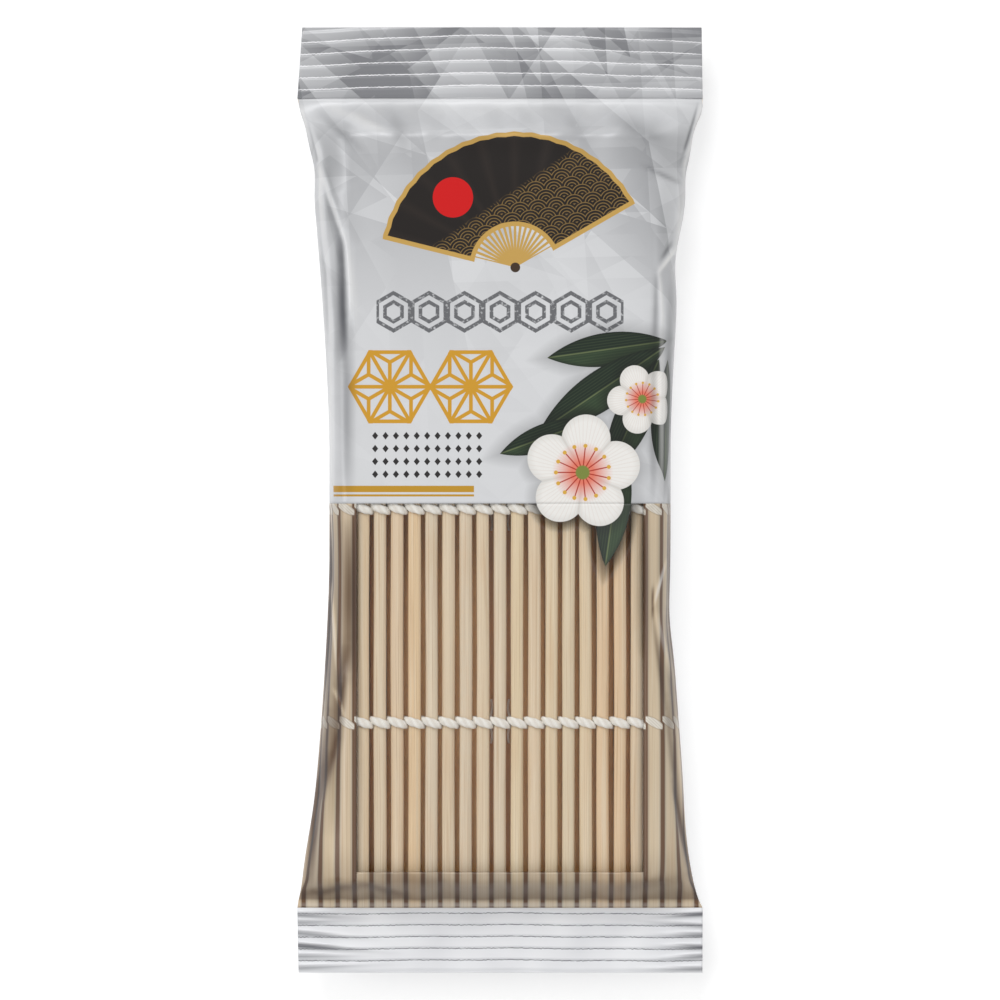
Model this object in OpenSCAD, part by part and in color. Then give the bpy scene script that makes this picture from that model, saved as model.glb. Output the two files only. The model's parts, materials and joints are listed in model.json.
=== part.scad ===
// Bamboo rolling mat, rolled flat and sealed in a film pack.
// The pack lies on its back. +Z is up, the printed front faces +Z and the tear-off end points to +Y.
// The origin is the middle of the pack, on the surface that it lies on. Sizes are in millimetres.

/* [Mat] */
// Length of a stick, along Y
stick_len = 240; // [180:1:260]
// Width of a stick across its flat oval section
stick_w = 4.2; // [3.6:0.1:4.8]
// Thickness of a stick
stick_t = 2.8; // [2.2:0.1:3.2]
// Gap between two sticks, where the strands cross
stick_gap = 1.4; // [1.2:0.1:1.8]
// Sticks in the flat front of the roll, an odd number
front_sticks = 17; // [13:2:19]
// Sticks in each upright side of the roll
side_sticks = 2; // [1:1:4]
// Sticks in each lower corner of the roll, where it slopes in under itself
corner_sticks = 2; // [1:1:3]

/* [Cords] */
// Distance between two rows of cord
row_pitch = 70; // [40:1:80]
// Diameter of one strand
strand_d = 0.9; // [0.6:0.05:1]
// How far a strand swings to each side of its row between two sticks
strand_swing = 1.2; // [0.8:0.1:1.6]
// Air between a strand and the face of the stick that it crosses
strand_clear = 0.1; // [0.08:0.01:0.3]
// Diameter of the knot at each end of a row
knot_d = 2; // [1.4:0.1:2.2]

/* [Pack] */
// Thickness of the film panels
film_t = 0.5; // [0.3:0.05:0.8]
// Air between the film and the cords, over and under the roll
film_clear = 0.35; // [0.3:0.05:1]
// Air between the film and the cords at each side of the roll
side_play = 1.5; // [1.2:0.1:4]
// How much further the seals reach sideways than the middle of the pack, at each side
flare = 10.5; // [6:0.5:14]
// Room between the sticks and the foot seal
foot_room = 10.9; // [8:0.1:20]
// Room between the sticks and the tear-off seal
head_room = 14.5; // [8:0.1:24]
// Width of the foot seal, along Y
foot_seal_w = 21.3; // [12:0.1:30]
// Width of the tear-off seal, along Y
head_seal_w = 23.3; // [12:0.1:30]
// Height of the ridges pressed into the seals
ridge_h = 0.6; // [0.3:0.1:1]
// Ridges in each end seal
ridges = 5; // [3:1:8]
// Width of the long fin seal on the back, folded flat
fin_w = 12; // [6:0.5:16]
// Thickness of the fin seal
fin_t = 0.6; // [0.4:0.05:1]
// Distance of the printed panel's lower edge from the middle row of cord
print_above_row = 1.65; // [0:0.05:20]

/* [Hidden] */
$fn = 48;
// Number of bends at each end of the roll, and the angle of each
bends = 4;
bend = 180 / bends;
// Facets of a strand, and of each rounded side of the film
strand_sides = 6;
arc_n = 6;
// The film is full beside the seals and boxy in the middle: exponents of its rounded sides
boxy_mid = 2.4;
boxy_end = 1.2;
// Share of the flare that fades within a short reach of a seal, and the reach of both parts
pinch_share = 0.2;
pinch_reach = 6;
flare_reach = 115;
// Half of the small gap between front and back film at a seal, and the length of the step over the fin
seam_gap = 0.05;
step_run = 1;
// Rows of film points in the slope beside a seal, and the distance of the rows along the sticks
slope_rows = 5;
film_row = 14;
// The knot beyond the last stick, in knot diameters: how far out each ring lies, how wide it is, and what is
// left of the strand's swing
knot_rings = [[0.25, 0.85, 0.6], [0.65, 1, 0], [1, 0.7, 0], [1.15, 0.2, 0]];
// Least air from the knots of a free edge to the middle of the back
knot_clear = 0.2;

// Roll, measured along its middle line from the centre of the front. Each side turns in by one stick at the
// upper corner and by corner_sticks at the lower one, and the back takes as many sticks as the knots leave room for.
pitch = stick_w + stick_gap;
front_end = front_sticks / 2 * pitch;
back_end = front_end + (1 - corner_sticks) * pitch * cos(bend);
knot_tip = knot_rings[len(knot_rings) - 1][0] * knot_d;
back_sticks = floor((back_end - knot_tip - knot_clear) / pitch);
arm_sticks = 1 + side_sticks + corner_sticks + back_sticks;
stick_count = front_sticks + 2 * arm_sticks;
middle = (stick_count + 1) / 2;
bend_at = [
    front_end,
    front_end + pitch,
    front_end + (1 + side_sticks) * pitch,
    front_end + (1 + side_sticks + corner_sticks) * pitch,
    stick_count * pitch
];
function leg(d, i) = max(0, min(d, bend_at[i + 1]) - bend_at[i]);
function sum(v, i = 0) = i < len(v) ? v[i] + sum(v, i + 1) : 0;
function run_x(d) = min(d, bend_at[0]) + sum([for (i = [0 : bends - 1]) leg(d, i) * cos(bend * (i + 1))]);
function run_drop(d) = sum([for (i = [0 : bends - 1]) leg(d, i) * sin(bend * (i + 1))]);
function turn(d) = sign(d) * bend * len([for (i = [0 : bends - 1]) if (abs(d) > bend_at[i]) i]);
roll_drop = run_drop(bend_at[3]);

// Strand over a stick: its height over the middle line, and the shoulder where it dives into the gap
strand_rise = stick_t / 2 + strand_clear + strand_d / 2;
flank_x = (stick_w - stick_t) / 2;
flank_r = (stick_t + stick_gap) / 2;
dive = acos((stick_t / 2 + strand_d / 2 + min(strand_clear, stick_gap / 2 - strand_d / 2) / 2) / flank_r);
shoulder_x = flank_x + (flank_r * cos(dive) - strand_rise * sin(dive)) / cos(dive);

// Levels of the pack
cord_reach = strand_rise + strand_d / 2;
roll_z = fin_t + film_t + film_clear + cord_reach + roll_drop / 2;
front_z = roll_z + roll_drop / 2;
film_top = front_z + cord_reach + film_clear + film_t;
seal_z = film_top / 2;
flat_hw = bend_at[0] + cord_reach * tan(bend / 2);
mid_hw = run_x(bend_at[1]) + cord_reach + side_play + film_t;
seal_hw = mid_hw + flare;

// Places along the pack
pack_len = foot_seal_w + foot_room + stick_len + head_room + head_seal_w;
foot_y = foot_seal_w - pack_len / 2;
head_y = pack_len / 2 - head_seal_w;
mat_y = foot_y + foot_room + stick_len / 2;
print_y = mat_y + print_above_row;

function stick_name(i) = str("stick_", i < 10 ? "0" : "", i);
ROWS = ["foot", "middle", "head"];

// One bamboo stick in its place in the roll
module stick(i) {
    d = (i - middle) * pitch;
    color("burlywood")
    translate([sign(d) * run_x(abs(d)), mat_y + stick_len / 2, front_z - run_drop(abs(d))])
    rotate([0, turn(d), 0])
    rotate([90, 0, 0])
    linear_extrude(stick_len)
    stick_section();
}

// Flat oval: two round flanks with a flat between them
module stick_section() {
    square([stick_w - stick_t, stick_t], center = true);
    for (side = [-1, 1])
        translate([side * flank_x, 0])
        circle(d = stick_t);
}

// A point of a strand, s along the roll from stick i and n out from its middle line, at the height y of the pack
function on_roll(i, s, n, y) =
    let (d = (i - middle) * pitch, a = turn(d))
    [sign(d) * run_x(abs(d)) + s * cos(a) + n * sin(a), y, front_z - run_drop(abs(d)) - s * sin(a) + n * cos(a)];

// Over stick i and under the next one: side is 1 over and -1 under, and the strand swings across its row
function side_of(i, phase) = (i + phase) % 2 == 0 ? 1 : -1;
function strand_points(y, phase) = concat(
    [on_roll(1, -pitch / 2, 0, y + side_of(1, phase) * strand_swing)],
    [for (i = [1 : stick_count])
        let (side = side_of(i, phase), swing = side * strand_swing * shoulder_x / (pitch / 2))
        each [
            on_roll(i, -shoulder_x, side * strand_rise, y + swing),
            on_roll(i, shoulder_x, side * strand_rise, y - swing),
            on_roll(i, pitch / 2, 0, y - side * strand_swing)
        ]]
);

function knot_points(i, out, y, swing) =
    [for (k = knot_rings) on_roll(i, out * (pitch / 2 + k[0] * knot_d), 0, y + swing * k[2])];

function unit(v) = v / norm(v);
function ring(p, dir, r) =
    let (u = unit(cross(dir, [0, 1, 0])), v = cross(u, dir))
    [for (k = [0 : strand_sides - 1])
        let (a = 360 * k / strand_sides) p + r * (cos(a) * u + sin(a) * v)];

// Tube through the points, with a radius at each
module tube(points, radii) {
    last = len(points) - 1;
    rings = [for (k = [0 : last])
        ring(points[k], unit(points[min(k + 1, last)] - points[max(k - 1, 0)]), radii[k])];
    n = strand_sides;
    polyhedron(
        [for (r = rings) each r],
        concat(
            [[for (k = [0 : n - 1]) k]],
            [for (r = [0 : last - 1]) for (k = [0 : n - 1])
                let (a = r * n + k, b = r * n + (k + 1) % n)
                each [[a, a + n, b + n], [a, b + n, b]]],
            [[for (k = [n - 1 : -1 : 0]) last * n + k]]
        )
    );
}

// One strand of a row: strand 0 ends in the knots, strand 1 is tucked in beside them
module strand(row, phase) {
    y = mat_y + (row - 1) * row_pitch;
    core = strand_points(y, phase);
    swing_in = side_of(1, phase) * strand_swing;
    swing_out = -side_of(stick_count, phase) * strand_swing;
    first = knot_points(1, -1, y, swing_in);
    knots = [for (k = knot_rings) k[1] * knot_d / 2];
    color("ivory")
    if (phase == 0)
        tube(
            concat([for (k = [len(first) - 1 : -1 : 0]) first[k]], core, knot_points(stick_count, 1, y, swing_out)),
            concat([for (k = [len(knots) - 1 : -1 : 0]) knots[k]], [for (p = core) strand_d / 2], knots)
        );
    else
        tube(core, [for (p = core) strand_d / 2]);
}

// Share of the flare that is left at the distance d from a seal
function flare_at(d) =
    pinch_share * exp(-d / pinch_reach) + (1 - pinch_share) * pow(max(0, 1 - d / flare_reach), 1.5);
function seal_distance(y) = min(y - foot_y, head_y - y);
function end_room(y) = y < mat_y ? foot_room : head_room;
function half_width(y) = mid_hw + flare * flare_at(seal_distance(y));
// Half height of the pack: two films at a seal, and full where the sticks begin
function half_height(y) =
    let (u = min(1, seal_distance(y) / (end_room(y) - film_clear)))
    film_t + seam_gap + (seal_z - film_t - seam_gap) * (1 - cos(180 * u)) / 2;
function boxy(y) = boxy_mid - (boxy_mid - boxy_end) * flare_at(seal_distance(y));

// Rounded side of the film's section at y, from the side fold to the flat; inset moves it inwards
function side_arc(y, inset, sx, sz) =
    let (w = half_width(y) - inset - flat_hw, h = half_height(y) - inset, e = 2 / boxy(y))
    [for (k = [0 : arc_n])
        let (a = 90 * k / arc_n)
        [sx * (flat_hw + w * pow(cos(a), e)), y, seal_z + sz * h * pow(sin(a), e)]];
function reversed(v) = [for (k = [len(v) - 1 : -1 : 0]) v[k]];
function front_section(y, inset) = concat(side_arc(y, inset, 1, 1), reversed(side_arc(y, inset, -1, 1)));
function low_z(y) = seal_z - half_height(y);
// The left back panel steps up over the fin, which lies under it
function back_left_section(y, inset) = concat(
    side_arc(y, inset, -1, -1),
    [[-fin_w - step_run, y, low_z(y) + inset],
     [-fin_w, y, max(low_z(y), fin_t) + inset],
     [0, y, max(low_z(y), fin_t) + inset]]
);
function back_right_section(y, inset) =
    concat([[0, y, low_z(y) + inset]], reversed(side_arc(y, inset, 1, -1)));

// Rows of a panel from y0 to y1: close together in the slopes beside the seals
slopes = [
    for (k = [0 : slope_rows]) foot_y + (foot_room - film_clear) * k / slope_rows,
    for (k = [0 : slope_rows]) head_y - (head_room - film_clear) * k / slope_rows
];
function panel_rows(y0, y1) =
    let (
        low = [for (y = slopes) if (y >= y0 && y < mat_y) y],
        high = reversed([for (y = slopes) if (y <= y1 && y > mat_y) y]),
        from = len(low) > 0 ? low[len(low) - 1] : y0,
        to = len(high) > 0 ? high[0] : y1,
        n = max(1, ceil((to - from) / film_row))
    )
    concat(
        len(low) > 0 ? low : [y0],
        [for (k = [1 : n - 1]) from + (to - from) * k / n],
        len(high) > 0 ? high : [y1]
    );

// Closed shell between two grids of points
module shell(outer, inner) {
    rows = len(outer);
    cols = len(outer[0]);
    half = rows * cols;
    function at(side, r, c) = side * half + r * cols + c;
    polyhedron(
        concat([for (r = outer) each r], [for (r = inner) each r]),
        concat(
            [for (r = [0 : rows - 2]) for (c = [0 : cols - 2]) each [
                [at(0, r, c), at(0, r, c + 1), at(0, r + 1, c + 1)],
                [at(0, r, c), at(0, r + 1, c + 1), at(0, r + 1, c)],
                [at(1, r, c), at(1, r + 1, c + 1), at(1, r, c + 1)],
                [at(1, r, c), at(1, r + 1, c), at(1, r + 1, c + 1)]
            ]],
            [for (c = [0 : cols - 2]) each [
                [at(0, 0, c), at(1, 0, c + 1), at(0, 0, c + 1)],
                [at(0, 0, c), at(1, 0, c), at(1, 0, c + 1)],
                [at(0, rows - 1, c), at(0, rows - 1, c + 1), at(1, rows - 1, c + 1)],
                [at(0, rows - 1, c), at(1, rows - 1, c + 1), at(1, rows - 1, c)]
            ]],
            [for (r = [0 : rows - 2]) each [
                [at(0, r, 0), at(0, r + 1, 0), at(1, r + 1, 0)],
                [at(0, r, 0), at(1, r + 1, 0), at(1, r, 0)],
                [at(0, r, cols - 1), at(1, r + 1, cols - 1), at(0, r + 1, cols - 1)],
                [at(0, r, cols - 1), at(1, r, cols - 1), at(1, r + 1, cols - 1)]
            ]]
        )
    );
}

module film_front_printed() {
    rows = panel_rows(print_y, head_y);
    color("lightgray")
    shell([for (y = rows) front_section(y, 0)], [for (y = rows) front_section(y, film_t)]);
}

module film_front_window() {
    rows = panel_rows(foot_y, print_y);
    color("white", 0.4)
    shell([for (y = rows) front_section(y, 0)], [for (y = rows) front_section(y, film_t)]);
}

module film_back_left() {
    rows = panel_rows(foot_y, head_y);
    color("whitesmoke")
    shell([for (y = rows) back_left_section(y, 0)], [for (y = rows) back_left_section(y, film_t)]);
}

module film_back_right() {
    rows = panel_rows(foot_y, head_y);
    color("whitesmoke")
    shell([for (y = rows) back_right_section(y, 0)], [for (y = rows) back_right_section(y, film_t)]);
}

// The two film edges welded together and folded flat under the left panel
module fin_seal() {
    rows = panel_rows(foot_y, head_y);
    top = function (y) max(low_z(y), fin_t);
    color("silver")
    shell(
        [for (y = rows) [[-fin_w, y, top(y) - fin_t], [0, y, top(y) - fin_t]]],
        [for (y = rows) [[-fin_w, y, top(y)], [0, y, top(y)]]]
    );
}

// Both films pressed together between ribbed jaws, from y0 to y0 + w
module end_seal(y0, w) {
    skin = film_t + seam_gap;
    steps = 2 * ridges;
    lift = function (k) k % 2 == 1 ? ridge_h : 0;
    translate([-seal_hw, 0, 0])
    rotate([90, 0, 90])
    linear_extrude(2 * seal_hw)
    polygon(concat(
        [for (k = [0 : steps]) [y0 + w * k / steps, seal_z + skin + lift(k)]],
        [for (k = [steps : -1 : 0]) [y0 + w * k / steps, seal_z - skin + lift(k)]]
    ));
}

module foot_seal() {
    color("gainsboro")
    end_seal(foot_y - foot_seal_w, foot_seal_w);
}

module tear_off_seal() {
    color("gainsboro")
    end_seal(head_y, head_seal_w);
}

for (i = [1 : stick_count])
    stick(i);
for (row = [0 : len(ROWS) - 1]) {
    strand(row, 0);
    strand(row, 1);
}
film_front_printed();
film_front_window();
film_back_left();
film_back_right();
fin_seal();
foot_seal();
tear_off_seal();
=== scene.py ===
# %% [markdown]
# # A bamboo rolling mat in its film pack
#
# The object is a mat of 41 bamboo sticks, twined together by three rows of cotton cord. It is rolled flat,
# seventeen sticks wide, and sealed in a pillow pack of thin film. The upper half of the film is printed, and
# the lower half has a clear window with printed sticks round it. This lesson dresses the fixed solids of the
# part: it makes each stick, cord and panel of film as a fine mesh, worked out with numpy, and gives each its
# finish with shader nodes.
#
# Lengths are written in millimetres, because that is how a maker measures a pack. They become metres at
# the one place where points go into a mesh. +Z is up, the front of the pack faces up, +Y is its head.

import json
import math
from functools import partialmethod

import bpy
import numpy as np
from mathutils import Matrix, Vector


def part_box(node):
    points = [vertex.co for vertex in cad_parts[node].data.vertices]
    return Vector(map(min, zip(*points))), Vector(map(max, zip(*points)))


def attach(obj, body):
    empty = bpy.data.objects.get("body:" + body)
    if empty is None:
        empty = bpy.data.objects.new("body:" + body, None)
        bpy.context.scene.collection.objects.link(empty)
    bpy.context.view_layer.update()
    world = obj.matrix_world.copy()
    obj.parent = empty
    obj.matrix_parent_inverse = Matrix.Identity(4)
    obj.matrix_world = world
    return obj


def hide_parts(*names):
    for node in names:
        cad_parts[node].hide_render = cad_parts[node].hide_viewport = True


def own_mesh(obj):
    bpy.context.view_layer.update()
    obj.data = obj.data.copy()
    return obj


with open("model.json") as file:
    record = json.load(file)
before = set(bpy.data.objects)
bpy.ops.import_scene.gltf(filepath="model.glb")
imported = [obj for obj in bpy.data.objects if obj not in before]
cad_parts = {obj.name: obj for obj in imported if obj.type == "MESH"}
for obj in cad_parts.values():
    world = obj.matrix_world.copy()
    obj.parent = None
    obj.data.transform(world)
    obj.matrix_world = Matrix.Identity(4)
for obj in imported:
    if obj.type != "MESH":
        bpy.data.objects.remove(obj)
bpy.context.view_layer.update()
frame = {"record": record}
MM = 0.001

# %% [markdown]
# ## The sizes that everything follows
#
# The roll is described by its middle line. It starts at the middle of the front, runs flat to the last front
# stick, turns down round one stick, falls past the side sticks, turns in round two more, and comes back along
# the back. Each turn is two bends of 45 degrees. A stick is then only a number: its distance along that line
# gives its place and its tilt.

# %% Sizes of the mat and the pack
STICK_LENGTH = 240.0
STICK_WIDTH = 4.2
STICK_THICKNESS = 2.8
PITCH = 5.6
FRONT_STICKS = 17
UPPER_CORNER_STICKS = 1
SIDE_STICKS = 2
LOWER_CORNER_STICKS = 2
BACK_STICKS = 7
STICKS = FRONT_STICKS + 2 * (UPPER_CORNER_STICKS + SIDE_STICKS + LOWER_CORNER_STICKS + BACK_STICKS)
MIDDLE_STICK = (STICKS + 1) // 2
BEND = 45.0
BEND_AT = PITCH * np.cumsum(
    [FRONT_STICKS / 2, UPPER_CORNER_STICKS, SIDE_STICKS, LOWER_CORNER_STICKS, BACK_STICKS])

FILM_CLEAR = 0.35
CORD_REACH = 2.4
SIDE_PLAY = 1.5
FLARE = 10.5
FOOT_ROOM = 10.9
HEAD_ROOM = 14.5
HEAD_SEAL = 23.3
FIN_WIDTH = 12.0
FIN_THICKNESS = 0.6
SOLID_FILM = 0.5
ROW_PITCH = 70.0

seal_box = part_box("foot_seal")
PACK_FOOT = seal_box[0].y / MM
FOOT_Y = seal_box[1].y / MM
HEAD_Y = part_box("tear_off_seal")[0].y / MM
middle_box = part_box(f"stick_{MIDDLE_STICK}")
MAT_Y = middle_box[0].y / MM + STICK_LENGTH / 2
FRONT_Z = middle_box[1].z / MM - STICK_THICKNESS / 2
FILM_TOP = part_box("film_front_window")[1].z / MM
PRINT_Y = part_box("film_front_printed")[0].y / MM
SEAL_Z = FILM_TOP / 2
print(f"foot {FOOT_Y:.2f}, head {HEAD_Y:.2f}, mat middle {MAT_Y:.2f}, front sticks at {FRONT_Z:.3f}")

# %% [markdown]
# ## The camera
#
# The photograph looks straight down on the pack from far away, with hardly any perspective. So the camera
# stands four metres over it, and a long lens lets one pixel cover a third of a millimetre at the height of
# the seals, where the outline of the pack lies.

# %% Camera straight above
PIXEL = 0.328
VIEW_PIXELS = 1000
CAMERA_HEIGHT = 4000.0
SENSOR = 36.0
FAR_CLIP = 50.0

camera_data = bpy.data.cameras.new("camera")
camera_data.sensor_width = SENSOR
camera_data.lens = SENSOR * CAMERA_HEIGHT / (PIXEL * VIEW_PIXELS)
camera_data.clip_end = FAR_CLIP
camera = bpy.data.objects.new("camera", camera_data)
camera.location = (0, 0, (CAMERA_HEIGHT + SEAL_Z) * MM)
bpy.context.scene.collection.objects.link(camera)
bpy.context.scene.camera = camera
bpy.context.scene.view_settings.view_transform = "Standard"
print(f"lens {camera_data.lens:.0f} mm")

# %% [markdown]
# ## Helpers for meshes
#
# A film panel is a grid of points, and a stick or a strand is a stack of rings. Two helpers turn such
# arrays into closed meshes. Both compute all faces at once from the index grid, so no loop runs over
# vertices. Attributes carry what a material wants to know, such as the number of a stick.

# %% Points, faces and attributes
def add_attribute(mesh, label, values):
    """Gives each point of the mesh a number, which a material reads by the label."""
    layer = mesh.attributes.new(label, "FLOAT", "POINT")
    layer.data.foreach_set("value", np.asarray(values, np.float32).ravel())


def add_mesh(name, points, quads, triangles=None, attributes=None, flat=0):
    """Mesh object from points in mm, quads and triangles. All faces but the last few flat ones are smooth."""
    faces = quads.tolist() + ([] if triangles is None else triangles.tolist())
    mesh = bpy.data.meshes.new(name)
    mesh.from_pydata((points * MM).tolist(), [], faces)
    mesh.polygons.foreach_set("use_smooth", np.arange(len(faces)) < len(faces) - flat)
    for label, values in (attributes or {}).items():
        add_attribute(mesh, label, values)
    mesh.update()
    piece = bpy.data.objects.new(name, mesh)
    bpy.context.scene.collection.objects.link(piece)
    return piece


def grid_quads(index):
    """Quads between the neighbours of an index grid: each joins (r, c), (r, c+1), (r+1, c+1), (r+1, c)."""
    return np.stack([index[:-1, :-1], index[:-1, 1:], index[1:, 1:], index[1:, :-1]], -1).reshape(-1, 4)


print("a grid of 3 by 4 points has", len(grid_quads(np.arange(12).reshape(3, 4))), "faces")

# %% Closed tubes
def rings_and_faces(rings, start=0):
    """Closed tube through rings of shape (n, m, 3): its points, its side quads and its two end fans."""
    count, sides = rings.shape[:2]
    index = start + np.arange(count * sides).reshape(count, sides)
    quads = grid_quads(np.hstack([index, index[:, :1]]))
    ends = np.array([rings[0].mean(0), rings[-1].mean(0)])
    first, last = start + count * sides, start + count * sides + 1
    turn = np.roll(index, -1, axis=1)
    fans = np.vstack([
        np.stack([np.full(sides, first), turn[0], index[0]], -1),
        np.stack([np.full(sides, last), index[-1], turn[-1]], -1),
    ])
    return np.vstack([rings.reshape(-1, 3), ends]), quads, fans


print("a tube of 4 rings of 6 points has", len(rings_and_faces(np.zeros((4, 6, 3)))[1]), "side faces")


def add_tubes(name, tubes, values=None):
    """One object of several closed tubes. values maps an attribute to an array for each tube, or to one
    number for all its rings."""
    parts, start = [], 0
    layers = {label: [] for label in (values or {})}
    for number, rings in enumerate(tubes):
        parts.append(rings_and_faces(rings, start))
        start += len(parts[-1][0])
        for label, arrays in (values or {}).items():
            ring_values = np.broadcast_to(arrays[number], len(rings))
            layers[label] += [np.repeat(ring_values, rings.shape[1]), ring_values[[0, -1]]]
    layers = {label: np.concatenate(pieces) for label, pieces in layers.items()}
    return add_mesh(name, *(np.vstack(arrays) for arrays in zip(*parts)), layers)

# %% Closed sheets
def grid_normals(grid):
    """Unit normals of a grid of points: the cross product of its steps along a row and up a column."""
    along = np.gradient(grid, axis=1)
    up = np.gradient(grid, axis=0)
    normal = np.cross(along, up)
    return normal / np.maximum(np.linalg.norm(normal, axis=2, keepdims=True), 1e-9)


level_grid = np.stack([*np.meshgrid(range(3), range(3)), np.zeros((3, 3))], -1)
print("the normal of a level grid is", grid_normals(level_grid)[1, 1])


def add_sheet(name, grid, thickness, attributes):
    """Closed sheet: the grid, the same grid moved inwards by the thickness, and a rim. The thickness is one
    number, or one for each point."""
    rows, columns = grid.shape[:2]
    inner = grid - grid_normals(grid) * thickness
    index = np.arange(rows * columns).reshape(rows, columns)
    edge = np.concatenate([index[0, :-1], index[:-1, -1], index[-1, :0:-1], index[:0:-1, 0]])
    after = np.roll(edge, -1)
    shift = rows * columns
    rim = np.stack([edge, edge + shift, after + shift, after], -1)
    quads = np.vstack([grid_quads(index), grid_quads(index + shift)[:, ::-1], rim])
    doubled = {label: np.tile(np.ravel(values), 2) for label, values in attributes.items()}
    doubled["inside"] = np.repeat([0.0, 1.0], shift)
    return add_mesh(name, np.concatenate([grid, inner]).reshape(-1, 3), quads, None, doubled, len(rim))

# %% [markdown]
# ## Helpers for materials
#
# A print is drawn with distances: the distance of a point from the edge of a leaf or a disc is a small
# formula, and the ink lies where it is negative. Laid down by hand, such a formula is dozens of Math nodes.
# The class below lays them down from plain arithmetic, inside a shader node group that several materials
# can share. Lengths in these formulas are millimetres too.

# %% Fields: arithmetic that lays down nodes
def add_node(tree, kind, **settings):
    """New shader node of a kind, with these settings."""
    node = tree.nodes.new(f"ShaderNode{kind}")
    for label, value in settings.items():
        setattr(node, label, value)
    return node


def plug(tree, value, socket):
    """Links a field to a socket, or sets the socket to a plain number."""
    if isinstance(value, Field):
        tree.links.new(value.out, socket)
    else:
        socket.default_value = value


class Field:
    """A number, or a colour, at every point of a surface, made by nodes of one tree."""

    def __init__(self, tree, out):
        self.tree, self.out = tree, out

    def math(self, operation, *others, clamp=False):
        """A Math node of this kind, with this field in its first socket and the others after it."""
        node = add_node(self.tree, "Math", operation=operation, use_clamp=clamp)
        for socket, value in zip(node.inputs, (self, *others)):
            plug(self.tree, value, socket)
        return Field(self.tree, node.outputs[0])

    __add__ = __radd__ = partialmethod(math, "ADD")
    __sub__ = partialmethod(math, "SUBTRACT")
    __rsub__ = partialmethod(math, "MULTIPLY_ADD", -1.0)
    __mul__ = __rmul__ = partialmethod(math, "MULTIPLY")
    __neg__ = partialmethod(math, "MULTIPLY", -1.0)
    __truediv__ = partialmethod(math, "DIVIDE")
    __pow__ = partialmethod(math, "POWER")
    __abs__ = partialmethod(math, "ABSOLUTE")

    def ramp(self, slope=1.0, start=0.0):
        """The value times the slope plus the start, kept between 0 and 1."""
        return self.math("MULTIPLY_ADD", slope, start, clamp=True)

    def rise(self, low, high):
        """0 up to the low value, 1 from the high one on, and straight between them."""
        return self.ramp(1.0 / (high - low), -low / (high - low))

    def step_in(self, soft=0.12):
        """1 where the distance is negative, 0 outside, with an edge that is soft over the given mm."""
        return self.ramp(-1.0 / soft, 0.5)


def smaller(value, *others):
    """The smallest of the values: the drawn shapes become one."""
    for other in others:
        value = value.math("MINIMUM", other)
    return value


def larger(value, *others):
    """The largest of the values: only what all drawn shapes share is left."""
    for other in others:
        value = value.math("MAXIMUM", other)
    return value


def length_of(x, y):
    """Distance of (x, y) from the origin, by Pythagoras."""
    return (x * x + y * y).math("SQRT")


drawing = [name for name in vars(Field) if not name.startswith("_")]
print("besides plain arithmetic a field has:", ", ".join(drawing))

# %% Colours
def tone(red, green, blue):
    """Linear colour for a shader from a display colour in 0 to 255."""
    channel = np.array([red, green, blue]) / 255.0
    linear = np.where(channel <= 0.04045, channel / 12.92, ((channel + 0.055) / 1.055) ** 2.4)
    return (*linear.tolist(), 1.0)


def mix(under, over, mask, blend="MIX"):
    """Colour that goes from under to over, or to their product, as the mask goes from 0 to 1."""
    node = add_node(mask.tree, "Mix", data_type="RGBA", blend_type=blend)
    for label, value in (("Factor", mask), ("A", under), ("B", over)):
        plug(mask.tree, value, node.inputs[label])
    return Field(mask.tree, node.outputs["Result"])


print("a display grey of 128 is", round(tone(128, 128, 128)[0], 3), "in the shader")

# %% Shader groups
def new_group(name, inputs, outputs):
    """Shader group with the given sockets, as {name: kind}. Returns it with its inputs as fields."""
    group = bpy.data.node_groups.new(name, "ShaderNodeTree")
    for side, sockets in (("INPUT", inputs), ("OUTPUT", outputs)):
        for label, kind in sockets.items():
            group.interface.new_socket(label, in_out=side, socket_type=f"NodeSocket{kind}")
    entry = group.nodes.new("NodeGroupInput")
    group.nodes.new("NodeGroupOutput")
    return group, [Field(group, entry.outputs[label]) for label in inputs]


def put_out(group, **fields):
    """Links fields to the outputs of a group."""
    end = next(node for node in group.nodes if node.type == "GROUP_OUTPUT")
    for label, field in fields.items():
        plug(group, field, end.inputs[label])


def use_group(tree, group, **values):
    """Places a group in a tree and returns its outputs as fields."""
    node = add_node(tree, "Group", node_tree=group)
    for label, value in values.items():
        plug(tree, value, node.inputs[label])
    return {socket.name: Field(tree, socket) for socket in node.outputs}


print("shader groups so far:", len(bpy.data.node_groups))

# %% Places and noise
def position(tree):
    """Object coordinates as three fields in mm."""
    place = add_node(tree, "TexCoord")
    split = add_node(tree, "SeparateXYZ")
    tree.links.new(place.outputs["Object"], split.inputs[0])
    return [Field(tree, out) * (1 / MM) for out in split.outputs]


def attribute(tree, name):
    """A number that the mesh carries at its points."""
    return Field(tree, add_node(tree, "Attribute", attribute_name=name).outputs["Fac"])


def join(tree, x, y, z=0.0):
    """Three fields as one place."""
    node = add_node(tree, "CombineXYZ")
    for socket, value in zip(node.inputs, (x, y, z)):
        plug(tree, value, socket)
    return Field(tree, node.outputs[0])


def noise(tree, place, scale=1.0, detail=2.0):
    """Noise between 0 and 1 over a place in mm; one lump is about 1 / scale mm."""
    node = add_node(tree, "TexNoise")
    tree.links.new(place.out, node.inputs["Vector"])
    node.inputs["Scale"].default_value = scale
    node.inputs["Detail"].default_value = detail
    return Field(tree, node.outputs["Fac"])


def random_of(tree, number, salt=0.0):
    """One random number between 0 and 1 for each whole number, with another series for each salt."""
    node = add_node(tree, "TexWhiteNoise", noise_dimensions="2D")
    tree.links.new(join(tree, number, salt).out, node.inputs["Vector"])
    return Field(tree, node.outputs["Value"])


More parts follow.
